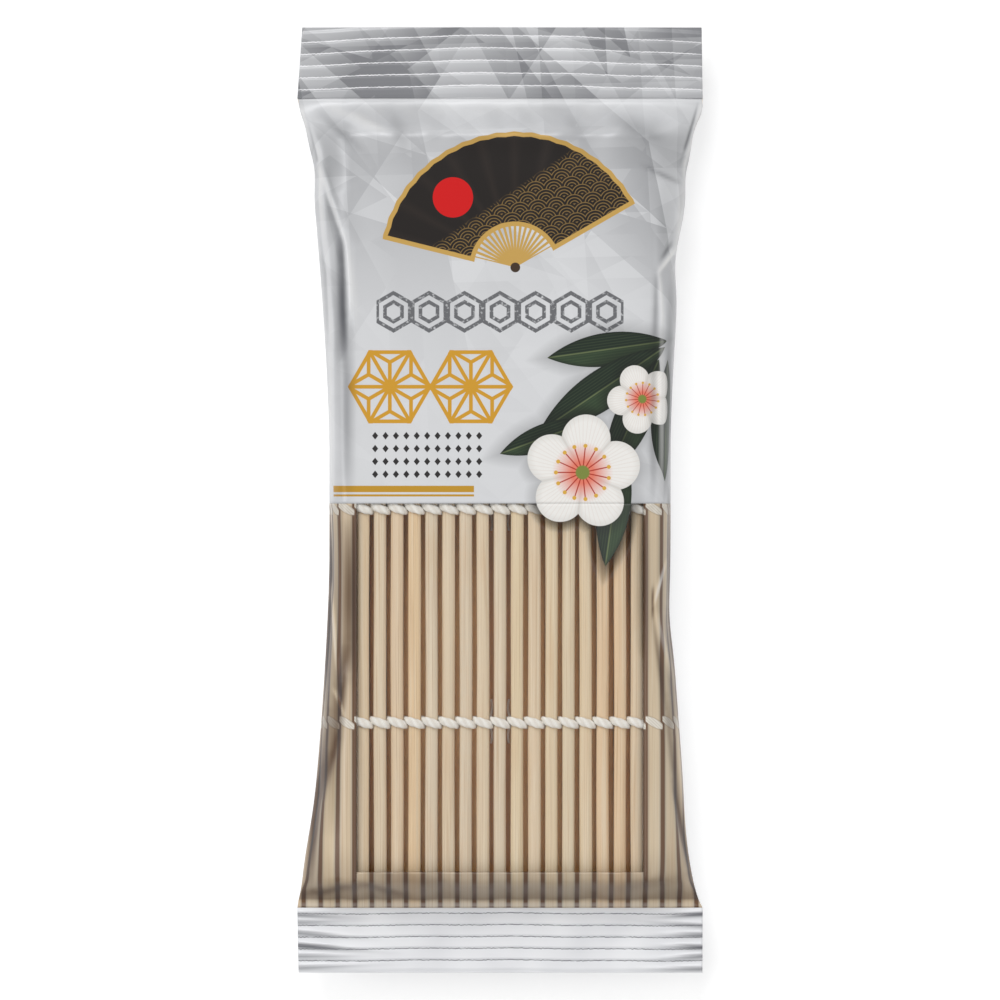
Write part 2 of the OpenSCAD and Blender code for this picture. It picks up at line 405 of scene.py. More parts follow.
print("one lump of noise at a scale of 0.05 is about", 1 / 0.05, "mm")

# %% Materials
def new_material(name, roughness=0.5, metallic=0.0):
    """Material with a Principled shader, whose constant sockets are set here and the rest by the caller."""
    material = bpy.data.materials.new(name)
    material.use_nodes = True
    shader = material.node_tree.nodes["Principled BSDF"]
    shader.inputs["Roughness"].default_value = roughness
    shader.inputs["Metallic"].default_value = metallic
    return material, material.node_tree, shader


def bump(tree, height, shader, distance):
    """Feeds a height between 0 and 1, worth the given mm, to the shader's normal."""
    node = add_node(tree, "Bump")
    node.inputs["Distance"].default_value = distance * MM
    plug(tree, height, node.inputs["Height"])
    tree.links.new(node.outputs["Normal"], shader.inputs["Normal"])


print("materials before ours:", len(bpy.data.materials))

# %% [markdown]
# ## The bamboo finish
#
# Every stick is split from a different part of the cane. So each has its own tone, between cream, straw and
# a warm peach, with a few darker fibres that run along it for most of its length. The finish is a node group
# with the stick's number and a place on it as inputs, because the film has sticks printed on its sides that
# must carry on the tones of the real ones.

# %% Group: tone and fibres of bamboo
CREAM = tone(229, 206, 172)
PALE = tone(220, 206, 184)
PEACH = tone(233, 198, 156)
STRAW = tone(234, 212, 168)
BLOOM = tone(238, 222, 196)
DARK_FIBRE = tone(190, 152, 108)
DARK_HAIR = tone(180, 150, 118)
LIGHT_HAIR = tone(236, 226, 208)
BROWN_PATCH = tone(214, 180, 140)
NEXT_CANE = 37.0
GRAIN = (
    # lumps a mm across, lumps a mm along, shift by stick number, detail
    (1.5, 0.012, 3.1, 3.0),
    (3.4, 0.02, 1.7, 2.0),
    (7.5, 0.015, 2.3, 1.0),
    (0.3, 0.03, 0.0, 1.0),
)


def make_bamboo_group():
    """Base tone by stick number. The grain is noise, stretched a hundred times and more along the stick for
    its streaks, threads and hairs, and ten times for its patches."""
    inputs = {"Number": "Float", "Across": "Float", "Along": "Float"}
    group, (number, across, along) = new_group("bamboo_tone", inputs, {"Colour": "Color", "Fibre": "Float"})
    warm, pale, straw = (random_of(group, number, salt) for salt in (1.0, 2.0, 3.0))
    colour = mix(CREAM, PALE, pale.ramp(1.6, -0.5))
    colour = mix(colour, PEACH, warm.ramp(3.2, -2.2))
    colour = mix(colour, STRAW, straw.ramp(2.0, -1.2) * 0.7)
    shifted = across + number * NEXT_CANE
    streaks, threads, hairs, patches = (
        noise(group, join(group, shifted * wide, along * long, number * shift), 1.0, detail)
        for wide, long, shift, detail in GRAIN)
    colour = mix(colour, BLOOM, streaks.ramp(6.0, -3.1) * 0.6)
    colour = mix(colour, DARK_FIBRE, threads.ramp(7.0, -3.8) * 0.5)
    colour = mix(colour, DARK_HAIR, hairs.ramp(6.0, -3.3) * 0.32)
    colour = mix(colour, LIGHT_HAIR, hairs.ramp(-6.0, 2.4) * 0.3)
    colour = mix(colour, BROWN_PATCH, patches.ramp(4.0, -2.3) * 0.45)
    put_out(group, Colour=colour, Fibre=threads)
    return group


BAMBOO = make_bamboo_group()
print("nodes in the bamboo tone:", len(BAMBOO.nodes))

# %% Bamboo finish
CUT_END = tone(206, 176, 132)
PORE = tone(140, 104, 66)
UPPER_SHADED = tone(60, 44, 30)
UPPER_SHADE = 0.055
UNDERSIDE_BOUNCE_LIGHT = tone(252, 206, 146)


def make_bamboo():
    """Bamboo stick: tone and fibres from the group, a little painted shade on its upper part, a painted warm
    bounce light on its underside, and pores on the cut ends.
    """
    material, tree, shader = new_material("bamboo", roughness=0.55)
    shader.inputs["Specular IOR Level"].default_value = 0.35
    x, y, z = position(tree)
    looks = use_group(tree, BAMBOO, Number=attribute(tree, "stick"), Across=attribute(tree, "round"), Along=y)
    pores = noise(tree, join(tree, x * 5.0, z * 5.0, 0.0), 1.0, 1.0)
    cut = mix(CUT_END, PORE, pores.ramp(5.0, -2.4))
    under = attribute(tree, "under")
    # painted shade: the upper part of each stick is mixed a little towards dark brown
    colour = mix(looks["Colour"], UPPER_SHADED, under * -UPPER_SHADE + UPPER_SHADE)
    # painted warm bounce light on the underside of the stick
    colour = mix(colour, UNDERSIDE_BOUNCE_LIGHT, under * 0.9)
    colour = mix(colour, cut, attribute(tree, "cut"))
    plug(tree, colour, shader.inputs["Base Color"])
    bump(tree, looks["Fibre"], shader, 0.06)
    return material


bamboo = make_bamboo()
print("bamboo nodes:", len(bamboo.node_tree.nodes))

# %% [markdown]
# ## The sticks
#
# The sticks of this mat are nearly round: a flat oval with round flanks. Real ones are never quite straight
# and never quite alike, so each gets a slow, slight wander and its own small change of width. The section
# is a superellipse carried along the stick, and the last rings draw in to give the sanded ends.

# %% Place on the roll
def run_and_drop(distance):
    """How far the middle line has run sideways and dropped: each leg between two bends adds its cosine and
    its sine."""
    legs = np.clip(distance[..., None], BEND_AT[:-1], BEND_AT[1:]) - BEND_AT[:-1]
    turns = np.radians(BEND * np.arange(1, len(BEND_AT)))
    run = np.minimum(distance, BEND_AT[0]) + (legs * np.cos(turns)).sum(-1)
    return run, (legs * np.sin(turns)).sum(-1)


def on_roll(number, along, out, y):
    """Point beside a stick: along the roll and out from its middle line, in the stick's own tilt."""
    number, along, out, y = np.broadcast_arrays(*(np.asarray(v, float) for v in (number, along, out, y)))
    distance = (number - MIDDLE_STICK) * PITCH
    side = np.sign(distance)
    tilt = np.radians(side * BEND * (np.abs(distance)[..., None] > BEND_AT[:-1]).sum(-1))
    run, drop = run_and_drop(np.abs(distance))
    x = side * run + along * np.cos(tilt) + out * np.sin(tilt)
    z = FRONT_Z - drop - along * np.sin(tilt) + out * np.cos(tilt)
    return np.stack([x, y, z], -1)


BODY_OF_STICK = {
    int(node[len("stick_"):]): body
    for body, nodes in frame["record"]["behaviour"]["bodies"].items()
    for node in nodes if node.startswith("stick_")
}
print("stick 9 at", on_roll(9, 0, 0, 0).round(2), "on", BODY_OF_STICK[9])

# %% The sticks
STICK_SIDES = 28
STICK_RINGS = 26
SQUARENESS = 2.3
ROUND_SCALE = 1.75
END_STEPS = np.array([0, 0.12, 0.45, 1.0])
END_SIZES = [0.78, 0.93]
END_ROOM = 2.0
SHORTER = 0.8
THINNER = 0.03
WANDER = ((0.07, 34), (0.05, 13))
SWELL, SWELL_PITCH = 0.02, 21
UNDER_START, UNDER_SLOPE = 0.1, 2.2
random = np.random.default_rng(7)


def add_stick(number):
    """A superellipse of width by thickness, carried along Y, with a slow wander and drawn-in ends."""
    angle = np.arange(STICK_SIDES) * 2 * np.pi / STICK_SIDES
    power = 2 / SQUARENESS
    across = np.sign(np.cos(angle)) * np.abs(np.cos(angle)) ** power * STICK_WIDTH / 2
    out = np.sign(np.sin(angle)) * np.abs(np.sin(angle)) ** power * STICK_THICKNESS / 2
    length = STICK_LENGTH - random.uniform(0, SHORTER)
    inner = np.linspace(END_ROOM, length - END_ROOM, STICK_RINGS)
    y = np.concatenate([END_STEPS, inner, length - END_STEPS[::-1]])
    size = np.concatenate([END_SIZES, np.ones(STICK_RINGS + 4), END_SIZES[::-1]])
    phase = random.uniform(0, 2 * np.pi, 3)
    wander = sum(reach * np.sin(y / pitch + start) for (reach, pitch), start in zip(WANDER, phase))
    swell = 1 + SWELL * np.sin(y / SWELL_PITCH + phase[2]) - random.uniform(0, THINNER)
    s = across * (size * swell)[:, None] + wander[:, None]
    n = out * size[:, None]
    rings = on_roll(number, s, n, (MAT_Y - length / 2 + y)[:, None])
    cut = (size < 1).astype(float)
    name = f"stick_{number:02d}_bamboo"
    stick = add_tubes(name, [rings], {"stick": [float(number)], "cut": [cut]})
    # how far each point lies on the underside, where the bounce light is painted
    under = np.clip(UNDER_START - UNDER_SLOPE * np.sin(angle), 0, 1)
    for label, values in (("round", angle * ROUND_SCALE), ("under", under)):
        add_attribute(stick.data, label, np.append(np.tile(values, len(y)), [0, 0]))
    stick.data.materials.append(bamboo)
    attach(stick, BODY_OF_STICK[number])
    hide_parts(f"stick_{number:02d}")
    return stick


sticks = [add_stick(number) for number in range(1, STICKS + 1)]
print("sticks:", len(sticks), "faces each:", len(sticks[0].data.polygons))

# %% [markdown]
# ## The cords
#
# Each row is a pair of strands, twined: one passes over a stick while the other passes under it, and they
# cross in the gap. On the front only the upper strand shows, as a plump slanting stitch. A strand follows
# the outline of the stick at half its own thickness, and three plies wind round it. Because the mat bends
# between two sticks, each strand is cut in the middle of such a gap, and each length rides with its sticks.

# %% Cotton finish
COTTON = tone(252, 250, 245)
COTTON_SHADE = tone(234, 230, 221)
PAINTED_SHADE_BETWEEN_PLIES = tone(222, 215, 203)


def make_cotton():
    """Off-white cotton: fine fibres across the plies, a little fuzz, and a painted shade between the plies.
    """
    material, tree, shader = new_material("cotton", roughness=0.9)
    x, y, z = position(tree)
    fuzz = noise(tree, join(tree, x, y, z), 3.5, 3.0)
    colour = mix(COTTON, COTTON_SHADE, fuzz.ramp(2.0, -0.6))
    # painted shade in the grooves between the plies
    colour = mix(colour, PAINTED_SHADE_BETWEEN_PLIES, attribute(tree, "groove") * 0.8)
    plug(tree, colour, shader.inputs["Base Color"])
    shader.inputs["Sheen Weight"].default_value = 0.3
    bump(tree, fuzz, shader, 0.12)
    return material


cotton = make_cotton()
print("cotton nodes:", len(cotton.node_tree.nodes))

# %% Strands
STRAND_WIDTH = 2.85
STRAND_NECK = 1.5
STRAND_HEIGHT = 1.3
STRAND_SIDES = 18
STRAND_STEPS = 15
SWING = 1.3
PLIES = 3
PLY_DEPTH = 0.05
PLY_TURN = 1.3
ROWS = {"foot": MAT_Y - ROW_PITCH, "middle": MAT_Y, "head": MAT_Y + ROW_PITCH}


def over_stick(side):
    """Path over one stick: level over its flat, then a round shoulder down into the gap on each side."""
    radius = (STICK_THICKNESS + STRAND_HEIGHT) / 2
    flat = PITCH / 2 - radius
    length = 2 * flat + np.pi * radius
    t = (np.arange(STRAND_STEPS) + 0.5) / STRAND_STEPS * length
    left, right = np.pi * radius / 2, np.pi * radius / 2 + 2 * flat
    a = np.where(t < left, t / radius, np.where(t > right, (t - 2 * flat) / radius, np.pi / 2))
    middle = np.where(t < left, -flat, np.where(t > right, flat, t - left - flat))
    return middle - radius * np.cos(a), side * radius * np.sin(a), side * SWING * (1 - 2 * t / length)


def sweep(path, width, height, turn_length, facing):
    """Oval section with plies, carried along a path. Its wide axis lies across both path and outward side."""
    ahead = np.gradient(path, axis=0)
    ahead /= np.linalg.norm(ahead, axis=1, keepdims=True)
    wide = np.cross(ahead, facing)
    wide /= np.linalg.norm(wide, axis=1, keepdims=True)
    thick = np.cross(wide, ahead)
    walked = np.concatenate([[0], np.cumsum(np.linalg.norm(np.diff(path, axis=0), axis=1))])
    angle = np.arange(STRAND_SIDES) * 2 * np.pi / STRAND_SIDES
    lobes = 1 + PLY_DEPTH * np.cos(PLIES * angle + 2 * np.pi * walked[:, None] / turn_length)
    rings = (path[:, None] + wide[:, None] * (np.cos(angle) * lobes * width[:, None] / 2)[..., None]
             + thick[:, None] * (np.sin(angle) * lobes * height[:, None] / 2)[..., None])
    return rings, (1 - lobes) / (2 * PLY_DEPTH) + 0.5


def strand_run(numbers, y, phase):
    """One strand over and under a run of neighbouring sticks, from gap middle to gap middle."""
    parts, facing, widths = [], [], []
    for number in numbers:
        side = 1 if (number + phase) % 2 == 0 else -1
        s, n, swing = over_stick(side)
        parts.append(on_roll(number, s, n, y + swing))
        widths.append(STRAND_NECK + (STRAND_WIDTH - STRAND_NECK) * np.abs(n) / np.abs(n).max())
        outward = on_roll(number, 0, 1, 0) - on_roll(number, 0, 0, 0)
        along = on_roll(number, 1, 0, 0) - on_roll(number, 0, 0, 0)
        facing.append(outward * n[:, None] + along * s[:, None])
    path, facing = np.vstack(parts), np.vstack(facing)
    ends = [on_roll(numbers[0], -PITCH / 2, 0, path[0, 1]), on_roll(numbers[-1], PITCH / 2, 0, path[-1, 1])]
    path = np.vstack([ends[0], path, ends[1]])
    facing = np.vstack([facing[0], facing, facing[-1]])
    return path, facing, np.concatenate([[STRAND_NECK], *widths, [STRAND_NECK]])


print("stitch rises to", over_stick(1)[1].max().round(2), "mm from the middle line")

# %% Knots and tails at the free edges
KNOT_STEPS = 60
KNOT_SIZE = 1.15
KNOT_HEIGHT = 0.45
KNOT_THREAD = 0.95
TAIL_STEPS = 14
TAIL_LENGTH = 6.5
TAIL_THREAD = (1.0, 0.7)
TAIL_HEIGHT = 0.8
TAIL_START = 0.8
TAIL_CURL, TAIL_EASE = 2.4, 1.2
TAIL_LIFT, TAIL_WAVES = 0.35, 5
LOOSE = 0.9
ALONG_Y = np.array([0, 1.0, 0])


def knot_path(centre, across, up):
    """Overhand knot: the trefoil curve, flattened, in the plane of the mat."""
    t = np.linspace(0, 2 * np.pi, KNOT_STEPS)[:, None]
    u = (np.sin(t) + 2 * np.sin(2 * t)) / 3 * KNOT_SIZE
    v = (np.cos(t) - 2 * np.cos(2 * t)) / 3 * KNOT_SIZE
    w = -np.sin(3 * t) * KNOT_SIZE * KNOT_HEIGHT
    return centre + u * across + v * ALONG_Y + w * up


def tail_path(start, across, up, lean):
    """Short tail: it leaves the knot outwards and curls round to lie along the edge stick."""
    t = np.linspace(0, 1, TAIL_STEPS)[:, None]
    aside = across * (LOOSE * np.sin(t * TAIL_CURL)) + up * TAIL_LIFT * np.sin(t * TAIL_WAVES)
    return start + aside + ALONG_Y * lean * TAIL_LENGTH * t ** TAIL_EASE


print("tail reaches", tail_path(0, np.zeros(3), np.zeros(3), 1)[-1, 1], "mm from its knot")

# %% The cords, one piece for each body
def add_cords(body, numbers):
    """All strands of the three rows that ride with one body, and the knots if it holds a free edge."""
    tubes, grooves = [], []

    def lay(path, facing, width, height, turn_length):
        """Adds one strand. Its facing, width and height may each be the same all along."""
        width, height = (np.broadcast_to(size, len(path)) for size in (width, height))
        rings, groove = sweep(path, width, height, turn_length, np.broadcast_to(facing, path.shape))
        tubes.append(rings)
        grooves.append(groove)

    for y in ROWS.values():
        for phase in (0, 1):
            path, facing, width = strand_run(numbers, y, phase)
            lay(path, facing, width, STRAND_HEIGHT, PLY_TURN * 2)
        for edge, outwards in ((1, -1), (STICKS, 1)):
            if edge in numbers:
                origin = on_roll(edge, 0, 0, y)
                across = (on_roll(edge, 1, 0, y) - origin) * outwards
                up = on_roll(edge, 0, 1, y) - origin
                centre = origin + across * (PITCH / 2 + LOOSE)
                lay(knot_path(centre, across, up), up, KNOT_THREAD, KNOT_THREAD, PLY_TURN)
                for lean in (-1, 1):
                    path = tail_path(centre + ALONG_Y * lean * TAIL_START, across, up, lean)
                    lay(path, up, np.linspace(*TAIL_THREAD, TAIL_STEPS), TAIL_HEIGHT, PLY_TURN)
    piece = add_tubes(f"cords_{body}", tubes)
    add_attribute(piece.data, "groove", np.concatenate([np.append(g.ravel(), [0.5, 0.5]) for g in grooves]))
    piece.data.materials.append(cotton)
    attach(piece, body)
    return piece


sticks_of = {}
for number, body in sorted(BODY_OF_STICK.items()):
    sticks_of.setdefault(body, []).append(number)
cords = {body: add_cords(body, numbers) for body, numbers in sticks_of.items()}
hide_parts(*(f"cord_{row}_{strand}" for row in ROWS for strand in "ab"))
print("cord faces:", sum(len(piece.data.polygons) for piece in cords.values()))

# %% [markdown]
# ## The shape of the film
#
# A pillow pack has three regimes. In the middle the film lies flat over the roll and rounds over its sides.
# Towards a seal the two films come together, so the section gets lower, wider and more pointed. The same
# few formulas describe the solids and this finer mesh: a half width, a half height and an exponent for the
# rounded side, each a function of the distance from the nearer seal.

# %% Section of the film
PINCH_SHARE = 0.2
PINCH_REACH = 6.0
FLARE_REACH = 115.0
FLARE_POWER = 1.5
FOLD_GAP = 0.05
flat_half = BEND_AT[0] + CORD_REACH * math.tan(math.radians(BEND / 2))
middle_half = float(run_and_drop(BEND_AT[1])[0]) + CORD_REACH + SIDE_PLAY + SOLID_FILM
seal_half = middle_half + FLARE


def seal_distance(y):
    """Distance along y from the nearer end seal."""
    return np.maximum(0, np.minimum(y - FOOT_Y, HEAD_Y - y))


def flare_at(y):
    """Share of the flare at y: a short pinch at the seal and a long fade after it."""
    d = seal_distance(y)
    fade = np.maximum(0, 1 - d / FLARE_REACH) ** FLARE_POWER
    return PINCH_SHARE * np.exp(-d / PINCH_REACH) + (1 - PINCH_SHARE) * fade


def half_width(y):
    """Half width of the pack: that of its middle and the share of the flare."""
    return middle_half + FLARE * flare_at(y)


def half_height(y):
    """Half height: a smooth ramp from two films at the seal to the full pack where the sticks begin."""
    room = np.where(y < MAT_Y, FOOT_ROOM, HEAD_ROOM) - FILM_CLEAR
    t = np.minimum(1, seal_distance(y) / room)
    ramp = t ** 3 * (t * (6 * t - 15) + 10)
    low = SOLID_FILM + FOLD_GAP
    return low + (SEAL_Z - low) * ramp


print(f"half widths: flat {flat_half:.2f}, middle {middle_half:.2f}, seal {seal_half:.2f}")

# %% Sides of the film
BOXY_MIDDLE = 2.4
BOXY_END = 1.2
FILM = 0.12
THINNEST_FILM = 0.02
OUTLINE = {
    # side: (place y, reach along y, shift outwards)
    -1: ((108.0, 7.0, -1.1), (127.0, 4.0, 0.6), (-119.0, 15.0, 1.2)),
    1: ((127.0, 4.5, 1.3), (106.0, 6.0, -0.8), (79.0, 11.0, -1.7), (-38.0, 12.0, -0.9), (-112.0, 18.0, -0.8)),
}


def side_arc(y, angle, side):
    """Offset beyond the flat and height over the seal plane, for an angle from 0 at the fold to 90 degrees.
    A real pack is not symmetric, so bells along y move each side a little out or in."""
    power = 2 / (BOXY_MIDDLE - (BOXY_MIDDLE - BOXY_END) * flare_at(y))
    reach = half_width(y) - flat_half
    for place, spread, shift in OUTLINE[side]:
        reach = reach + shift * np.exp(-((y - place) / spread) ** 2) * np.minimum(1, seal_distance(y) / 2)
    return reach * np.cos(angle) ** power, half_height(y) * np.sin(angle) ** power


def film_at(z):
    """Thickness of the film: it fades out towards the fold, so that front and back do not cross there."""
    return np.clip(0.5 * np.abs(z - SEAL_Z), THINNEST_FILM, FILM)[..., None]


print("film thickness from the fold up:", film_at(SEAL_Z + np.array([0.0, 0.1, 1.0])).ravel(), "mm")

# %% [markdown]
# ## Creases
#
# Film does not stretch, so it must crease where the pack changes its width. Each crease here runs between
# two points of the front, seen from above: a bell curve across it, fading towards its ends. Their places
# follow the photograph. One number says how a crease looks: where it is positive the film dips and gets a
# painted shade, and where it is negative the film rises to a ridge with a painted highlight. Beside the
# seals, many small waves fan out.

# %% List of the creases
CREASE_DEPTH = 0.8
FOOT_SHADE = 0.4
SLOPE_TOP = -112.0
SLOPE_FOOT = -131.0
SLOPE_POWER = 1.3
CREASES = np.array([
    # x0, y0, x1, y1, width, darkness: painted shade where positive, painted highlight where negative; with
    # the width it also sets the dip
    [-49.2, -5, -49.2, -58, 3, 0.56],
    [55.2, -36, 57.6, -76, 1.3, 0.5],
    [-54.3, 8, -55.4, -74, 3.6, 0.3],
    [53.6, 8, 54.4, -74, 3.4, 0.14],
    [-49.4, -46, -55.6, -82, 2.6, 0.34],
    [-51.7, -46, -51.9, -68, 1.3, 0.14],
    [-56.9, -69, -63.8, -122, 1.5, 0.55],
    [-53.3, -75, -59.9, -99, 2, 0.42],
    [-53.6, -58, -55.4, -112, 3.4, 0.24],
    [-59.4, -94, -62.5, -127, 1.6, 0.42],
    [-56.4, -26, -53.6, -57, 0.6, -0.6],
    [-55.3, -61.5, -51.3, -70.5, 0.6, -0.5],
    [-53, -2, -53, -56, 0.5, -0.3],
    [-55.9, -8, -57.6, -72, 0.9, 0.6],
    [-60.2, -86, -65.4, -124, 0.6, -0.3],
    [46.7, 3, 46.7, -54, 2.6, 0.34],
    [50.3, -34.5, 54.5, -20, 0.6, -0.6],
    [50, -28, 50, -39, 0.5, 0.55],
    [50.8, -36, 57.2, -60, 1.1, -0.36],
    [50, -36, 54.2, -68, 0.9, 0.34],
    [54.4, -64, 61.4, -122, 1.5, 0.5],
    [56.6, -92, 65, -133, 0.9, 0.45],
    [58.3, -82, 62.7, -118, 0.9, -0.28],
    [55.6, 4, 55.6, -40, 0.6, 0.55],
    [-80, -131.4, 80, -131.4, 0.5, 0.14],
    [-80, -132.7, 80, -132.7, 0.6, -0.3],
    [-66, -129.5, -44, -126, 1.2, 0.24],
    [-47, -125, -30, -130, 1.2, 0.22],
    [-42, -122.5, -16, -125, 2.4, 0.16],
    [36, -127, 62, -123.5, 2, 0.14],
    [-58.2, 110, -52, 76, 2.2, 0.3],
    [-54.5, 84, -53.5, 4, 3.2, 0.14],
    [-60, 124, -53, 100, 6, 0.2],
    [-54, 100, -46, 82, 5, 0.1],
    [40, 124, 62, 106, 8, 0.16],
    [52, 104, 56, 80, 4, 0.12],
    [-80, 115, 80, 115, 7, 0.07],
    [-62, 119, 62, 118.6, 1.3, 0.07],
    [-70, 128, 70, 128, 3.5, -0.12],
    [-50.7, 131, -50, 119, 3.2, 0.16],
    [-52.4, 88, -51.8, 44, 2.3, 0.58],
    [-50, 60, -50, 0, 2.2, 0.34],
    [-65.2, 129, -59.6, 111, 1, -0.6],
    [-60.2, 117, -56.8, 76, 0.9, -0.5],
    [-57, 84, -55.2, 50, 0.8, -0.36],
    [-55.5, 62, -55.2, 0, 0.8, -0.36],
    [-63.9, 127, -60, 110, 0.6, 0.6],
    [-59.9, 110, -50.7, 84, 0.8, -0.6],
    [-51, 90, -47.4, 58, 1.4, -0.4],
    [-58.2, 101, -56.3, 52, 1.2, 0.26],
    [-60, 128, -44, 113, 1.6, 0.2],
    [-56, 129, -36, 120, 1.6, -0.4],
    [-36, 131, -30, 112, 2.6, 0.12],
    [66.4, 131, 60.3, 108, 0.9, -0.7],
    [60.8, 114, 57.7, 80, 0.9, -0.7],
    [65, 130, 60, 110, 0.6, 0.6],
    [60.2, 113, 58.7, 90, 0.6, 0.4],
    [51.7, 74.4, 57.6, 82.6, 0.7, -0.8],
    [52.8, 78.6, 56.6, 84.4, 0.8, 0.36],
    [52, 76, 53.4, 56, 0.7, -0.5],
    [51, 75, 50.8, 52, 1, 0.3],
    [56.1, 74, 55.4, -2, 1.5, 0.36],
    [53, 60, 52.7, -2, 0.8, -0.4],
    [50.2, 62, 50, -2, 1.3, 0.26],
    [46.4, 109.5, 61, 103, 0.9, 0.24],
    [34, 128, 58, 116, 3.2, 0.16],
    [20, 131, 30, 114, 2.6, 0.12],
])
deepest = CREASE_DEPTH * (CREASES[:, 4] * CREASES[:, 5]).max()
print("creases:", len(CREASES), "deepest:", round(deepest, 2), "mm")

# %% Creases, shades and gathers at a point
GATHERS = 7
# pitch, lean, phase and height: lowest, highest
GATHER_RANGES = ((9, -0.5, 0, 0.15), (26, 0.5, 7, 0.4))
GATHER_START, GATHER_REACH = 5, 15
GATHER_SIZE = 0.5
CREASE_ENDS = (0.02, 0.98)
CREASE_FADE = 0.6
HOLD_BY_SEAL = 1.5
HOLD_BY_FOLD = 3.0


def creases_at(x, y, heights):
    """Sum of all creases: height x bell(distance / width) x fade along the crease."""
    total = np.zeros_like(x)
    for (x0, y0, x1, y1, width, _), height in zip(CREASES, heights):
        run, rise = x1 - x0, y1 - y0
        t = ((x - x0) * run + (y - y0) * rise) / (run ** 2 + rise ** 2)
        held = np.clip(t, 0, 1)
        away = np.hypot(x - x0 - held * run, y - y0 - held * rise)
        fade = np.sin(np.pi * np.clip(t, *CREASE_ENDS)) ** CREASE_FADE
        total += height * np.exp(-(away / width) ** 2) * fade
    return total


def foot_slope_shade(y):
    """Painted shade on the film over the ends of the sticks, darker towards the foot seal. Its last fold gets
    none and stays light.
    """
    share = np.clip((SLOPE_TOP - y) / (SLOPE_TOP - SLOPE_FOOT), 0, 1)
    return FOOT_SHADE * share ** SLOPE_POWER * (y > SLOPE_FOOT)


def gathers_at(x, y, seed):
    """Waves along the seals: sines of random pitch, lean, phase and height, which fade within a few mm."""
    draw = np.random.default_rng(seed)
    d = seal_distance(y)
    fade = np.minimum(1, d / GATHER_START) * np.exp(-(d / GATHER_REACH) ** 2)
    total = np.zeros_like(x)
    for _ in range(GATHERS):
        pitch, lean, phase, height = draw.uniform(*GATHER_RANGES)
        total += height * np.sin(2 * np.pi * (x + lean * d) / pitch + phase)
    return total * fade * GATHER_SIZE


def hold_at(y, z):
    """Share of a wave that is left: none at the seals and the side folds, all of it a few mm away."""
    return np.minimum(1, seal_distance(y) / HOLD_BY_SEAL) * np.clip(np.abs(z - SEAL_Z) / HOLD_BY_FOLD, 0, 1)


print("shade at the foot of the slope:", float(foot_slope_shade(SLOPE_FOOT + 0.1).round(2)))

# %% Grid of the front film
FRONT_ARC = 40
FILM_STEP = 0.8
WINDOW_HALF = BEND_AT[0] - (PITCH - STICK_WIDTH) / 2
WINDOW_MARGIN = 1.2
WINDOW_FOOT = MAT_Y - STICK_LENGTH / 2 + WINDOW_MARGIN


def even_steps(start, end):
    """Evenly spaced places from start to end, a film step apart or less."""
    return np.linspace(start, end, math.ceil((end - start) / FILM_STEP) + 1)


WINDOW_X = even_steps(-WINDOW_HALF, WINDOW_HALF)


def front_grid(rows):
    """Points of the front film at rows y, from the left fold over the flat to the right fold."""
    angle = np.linspace(0, np.pi / 2, FRONT_ARC)
    y = rows[:, None]
    left, high = side_arc(y, angle, -1)
    right = side_arc(y, angle, 1)[0]
    level = np.broadcast_to(WINDOW_X, (len(rows), len(WINDOW_X)))
    top = np.broadcast_to(half_height(y), level.shape)
    x = np.hstack([-flat_half - left, level, flat_half + right[:, ::-1]])
    z = SEAL_Z + np.hstack([high, top, high[:, ::-1]])
    return np.stack([x, np.broadcast_to(y, x.shape), z], -1)


def across_of(grid):
    """Width coordinate of a print: 0 at the middle line. From there it grows by the larger of the sideways
    and the downward step, so a print isn't squeezed where the film turns down."""
    steps = np.abs(np.diff(grid[..., [0, 2]], axis=1)).max(-1)
    walked = np.concatenate([np.zeros((len(grid), 1)), np.cumsum(steps, axis=1)], axis=1)
    middle = np.abs(grid[..., 0]).argmin(axis=1)[:, None]
    return walked - np.take_along_axis(walked, middle, axis=1)


print("points across the front:", 2 * FRONT_ARC + len(WINDOW_X))

# %% Panels of the front film
foot_rows = even_steps(FOOT_Y, WINDOW_FOOT)
window_rows = even_steps(WINDOW_FOOT, PRINT_Y)[1:]
print_rows = even_steps(PRINT_Y, HEAD_Y)[1:]
front = front_grid(np.concatenate([foot_rows, window_rows, print_rows]))
front_x, front_y, front_z = np.moveaxis(front, -1, 0)
front_across = across_of(front)
# painted shade and highlights of the creases, and the painted shade of the foot slope
front_shade = creases_at(front_x, front_y, CREASES[:, 5]) + foot_slope_shade(front_y)
front_dip = creases_at(front_x, front_y, CREASES[:, 5] * CREASES[:, 4] * CREASE_DEPTH)
front_wave = (gathers_at(front_across, front_y, 3) - front_dip) * hold_at(front_y, front_z)
front = front + grid_normals(front) * front_wave[..., None]

FOOT_TO = len(foot_rows) - 1
WINDOW_TO = FOOT_TO + len(window_rows)
LEFT_TO = FRONT_ARC
RIGHT_FROM = FRONT_ARC + len(WINDOW_X) - 1
PANELS = {
    "front_film_printed": (slice(WINDOW_TO, None), slice(None)),
    "front_film_window": (slice(FOOT_TO, WINDOW_TO + 1), slice(LEFT_TO, RIGHT_FROM + 1)),
    "front_film_foot": (slice(0, FOOT_TO + 1), slice(LEFT_TO, RIGHT_FROM + 1)),
    "front_film_left": (slice(0, WINDOW_TO + 1), slice(0, LEFT_TO + 1)),
    "front_film_right": (slice(0, WINDOW_TO + 1), slice(RIGHT_FROM, None)),
}


def add_front(name):
    """One panel: its part of the grid, with the print coordinate and the painted shade and highlights of its
    creases.
    """
    part = PANELS[name]
    attributes = {"across": front_across[part], "shade": front_shade[part]}
    return add_sheet(name, front[part], film_at(front[part][..., 2]), attributes)


front_panels = {name: add_front(name) for name in PANELS}
print("front film faces:", {name: len(piece.data.polygons) for name, piece in front_panels.items()})

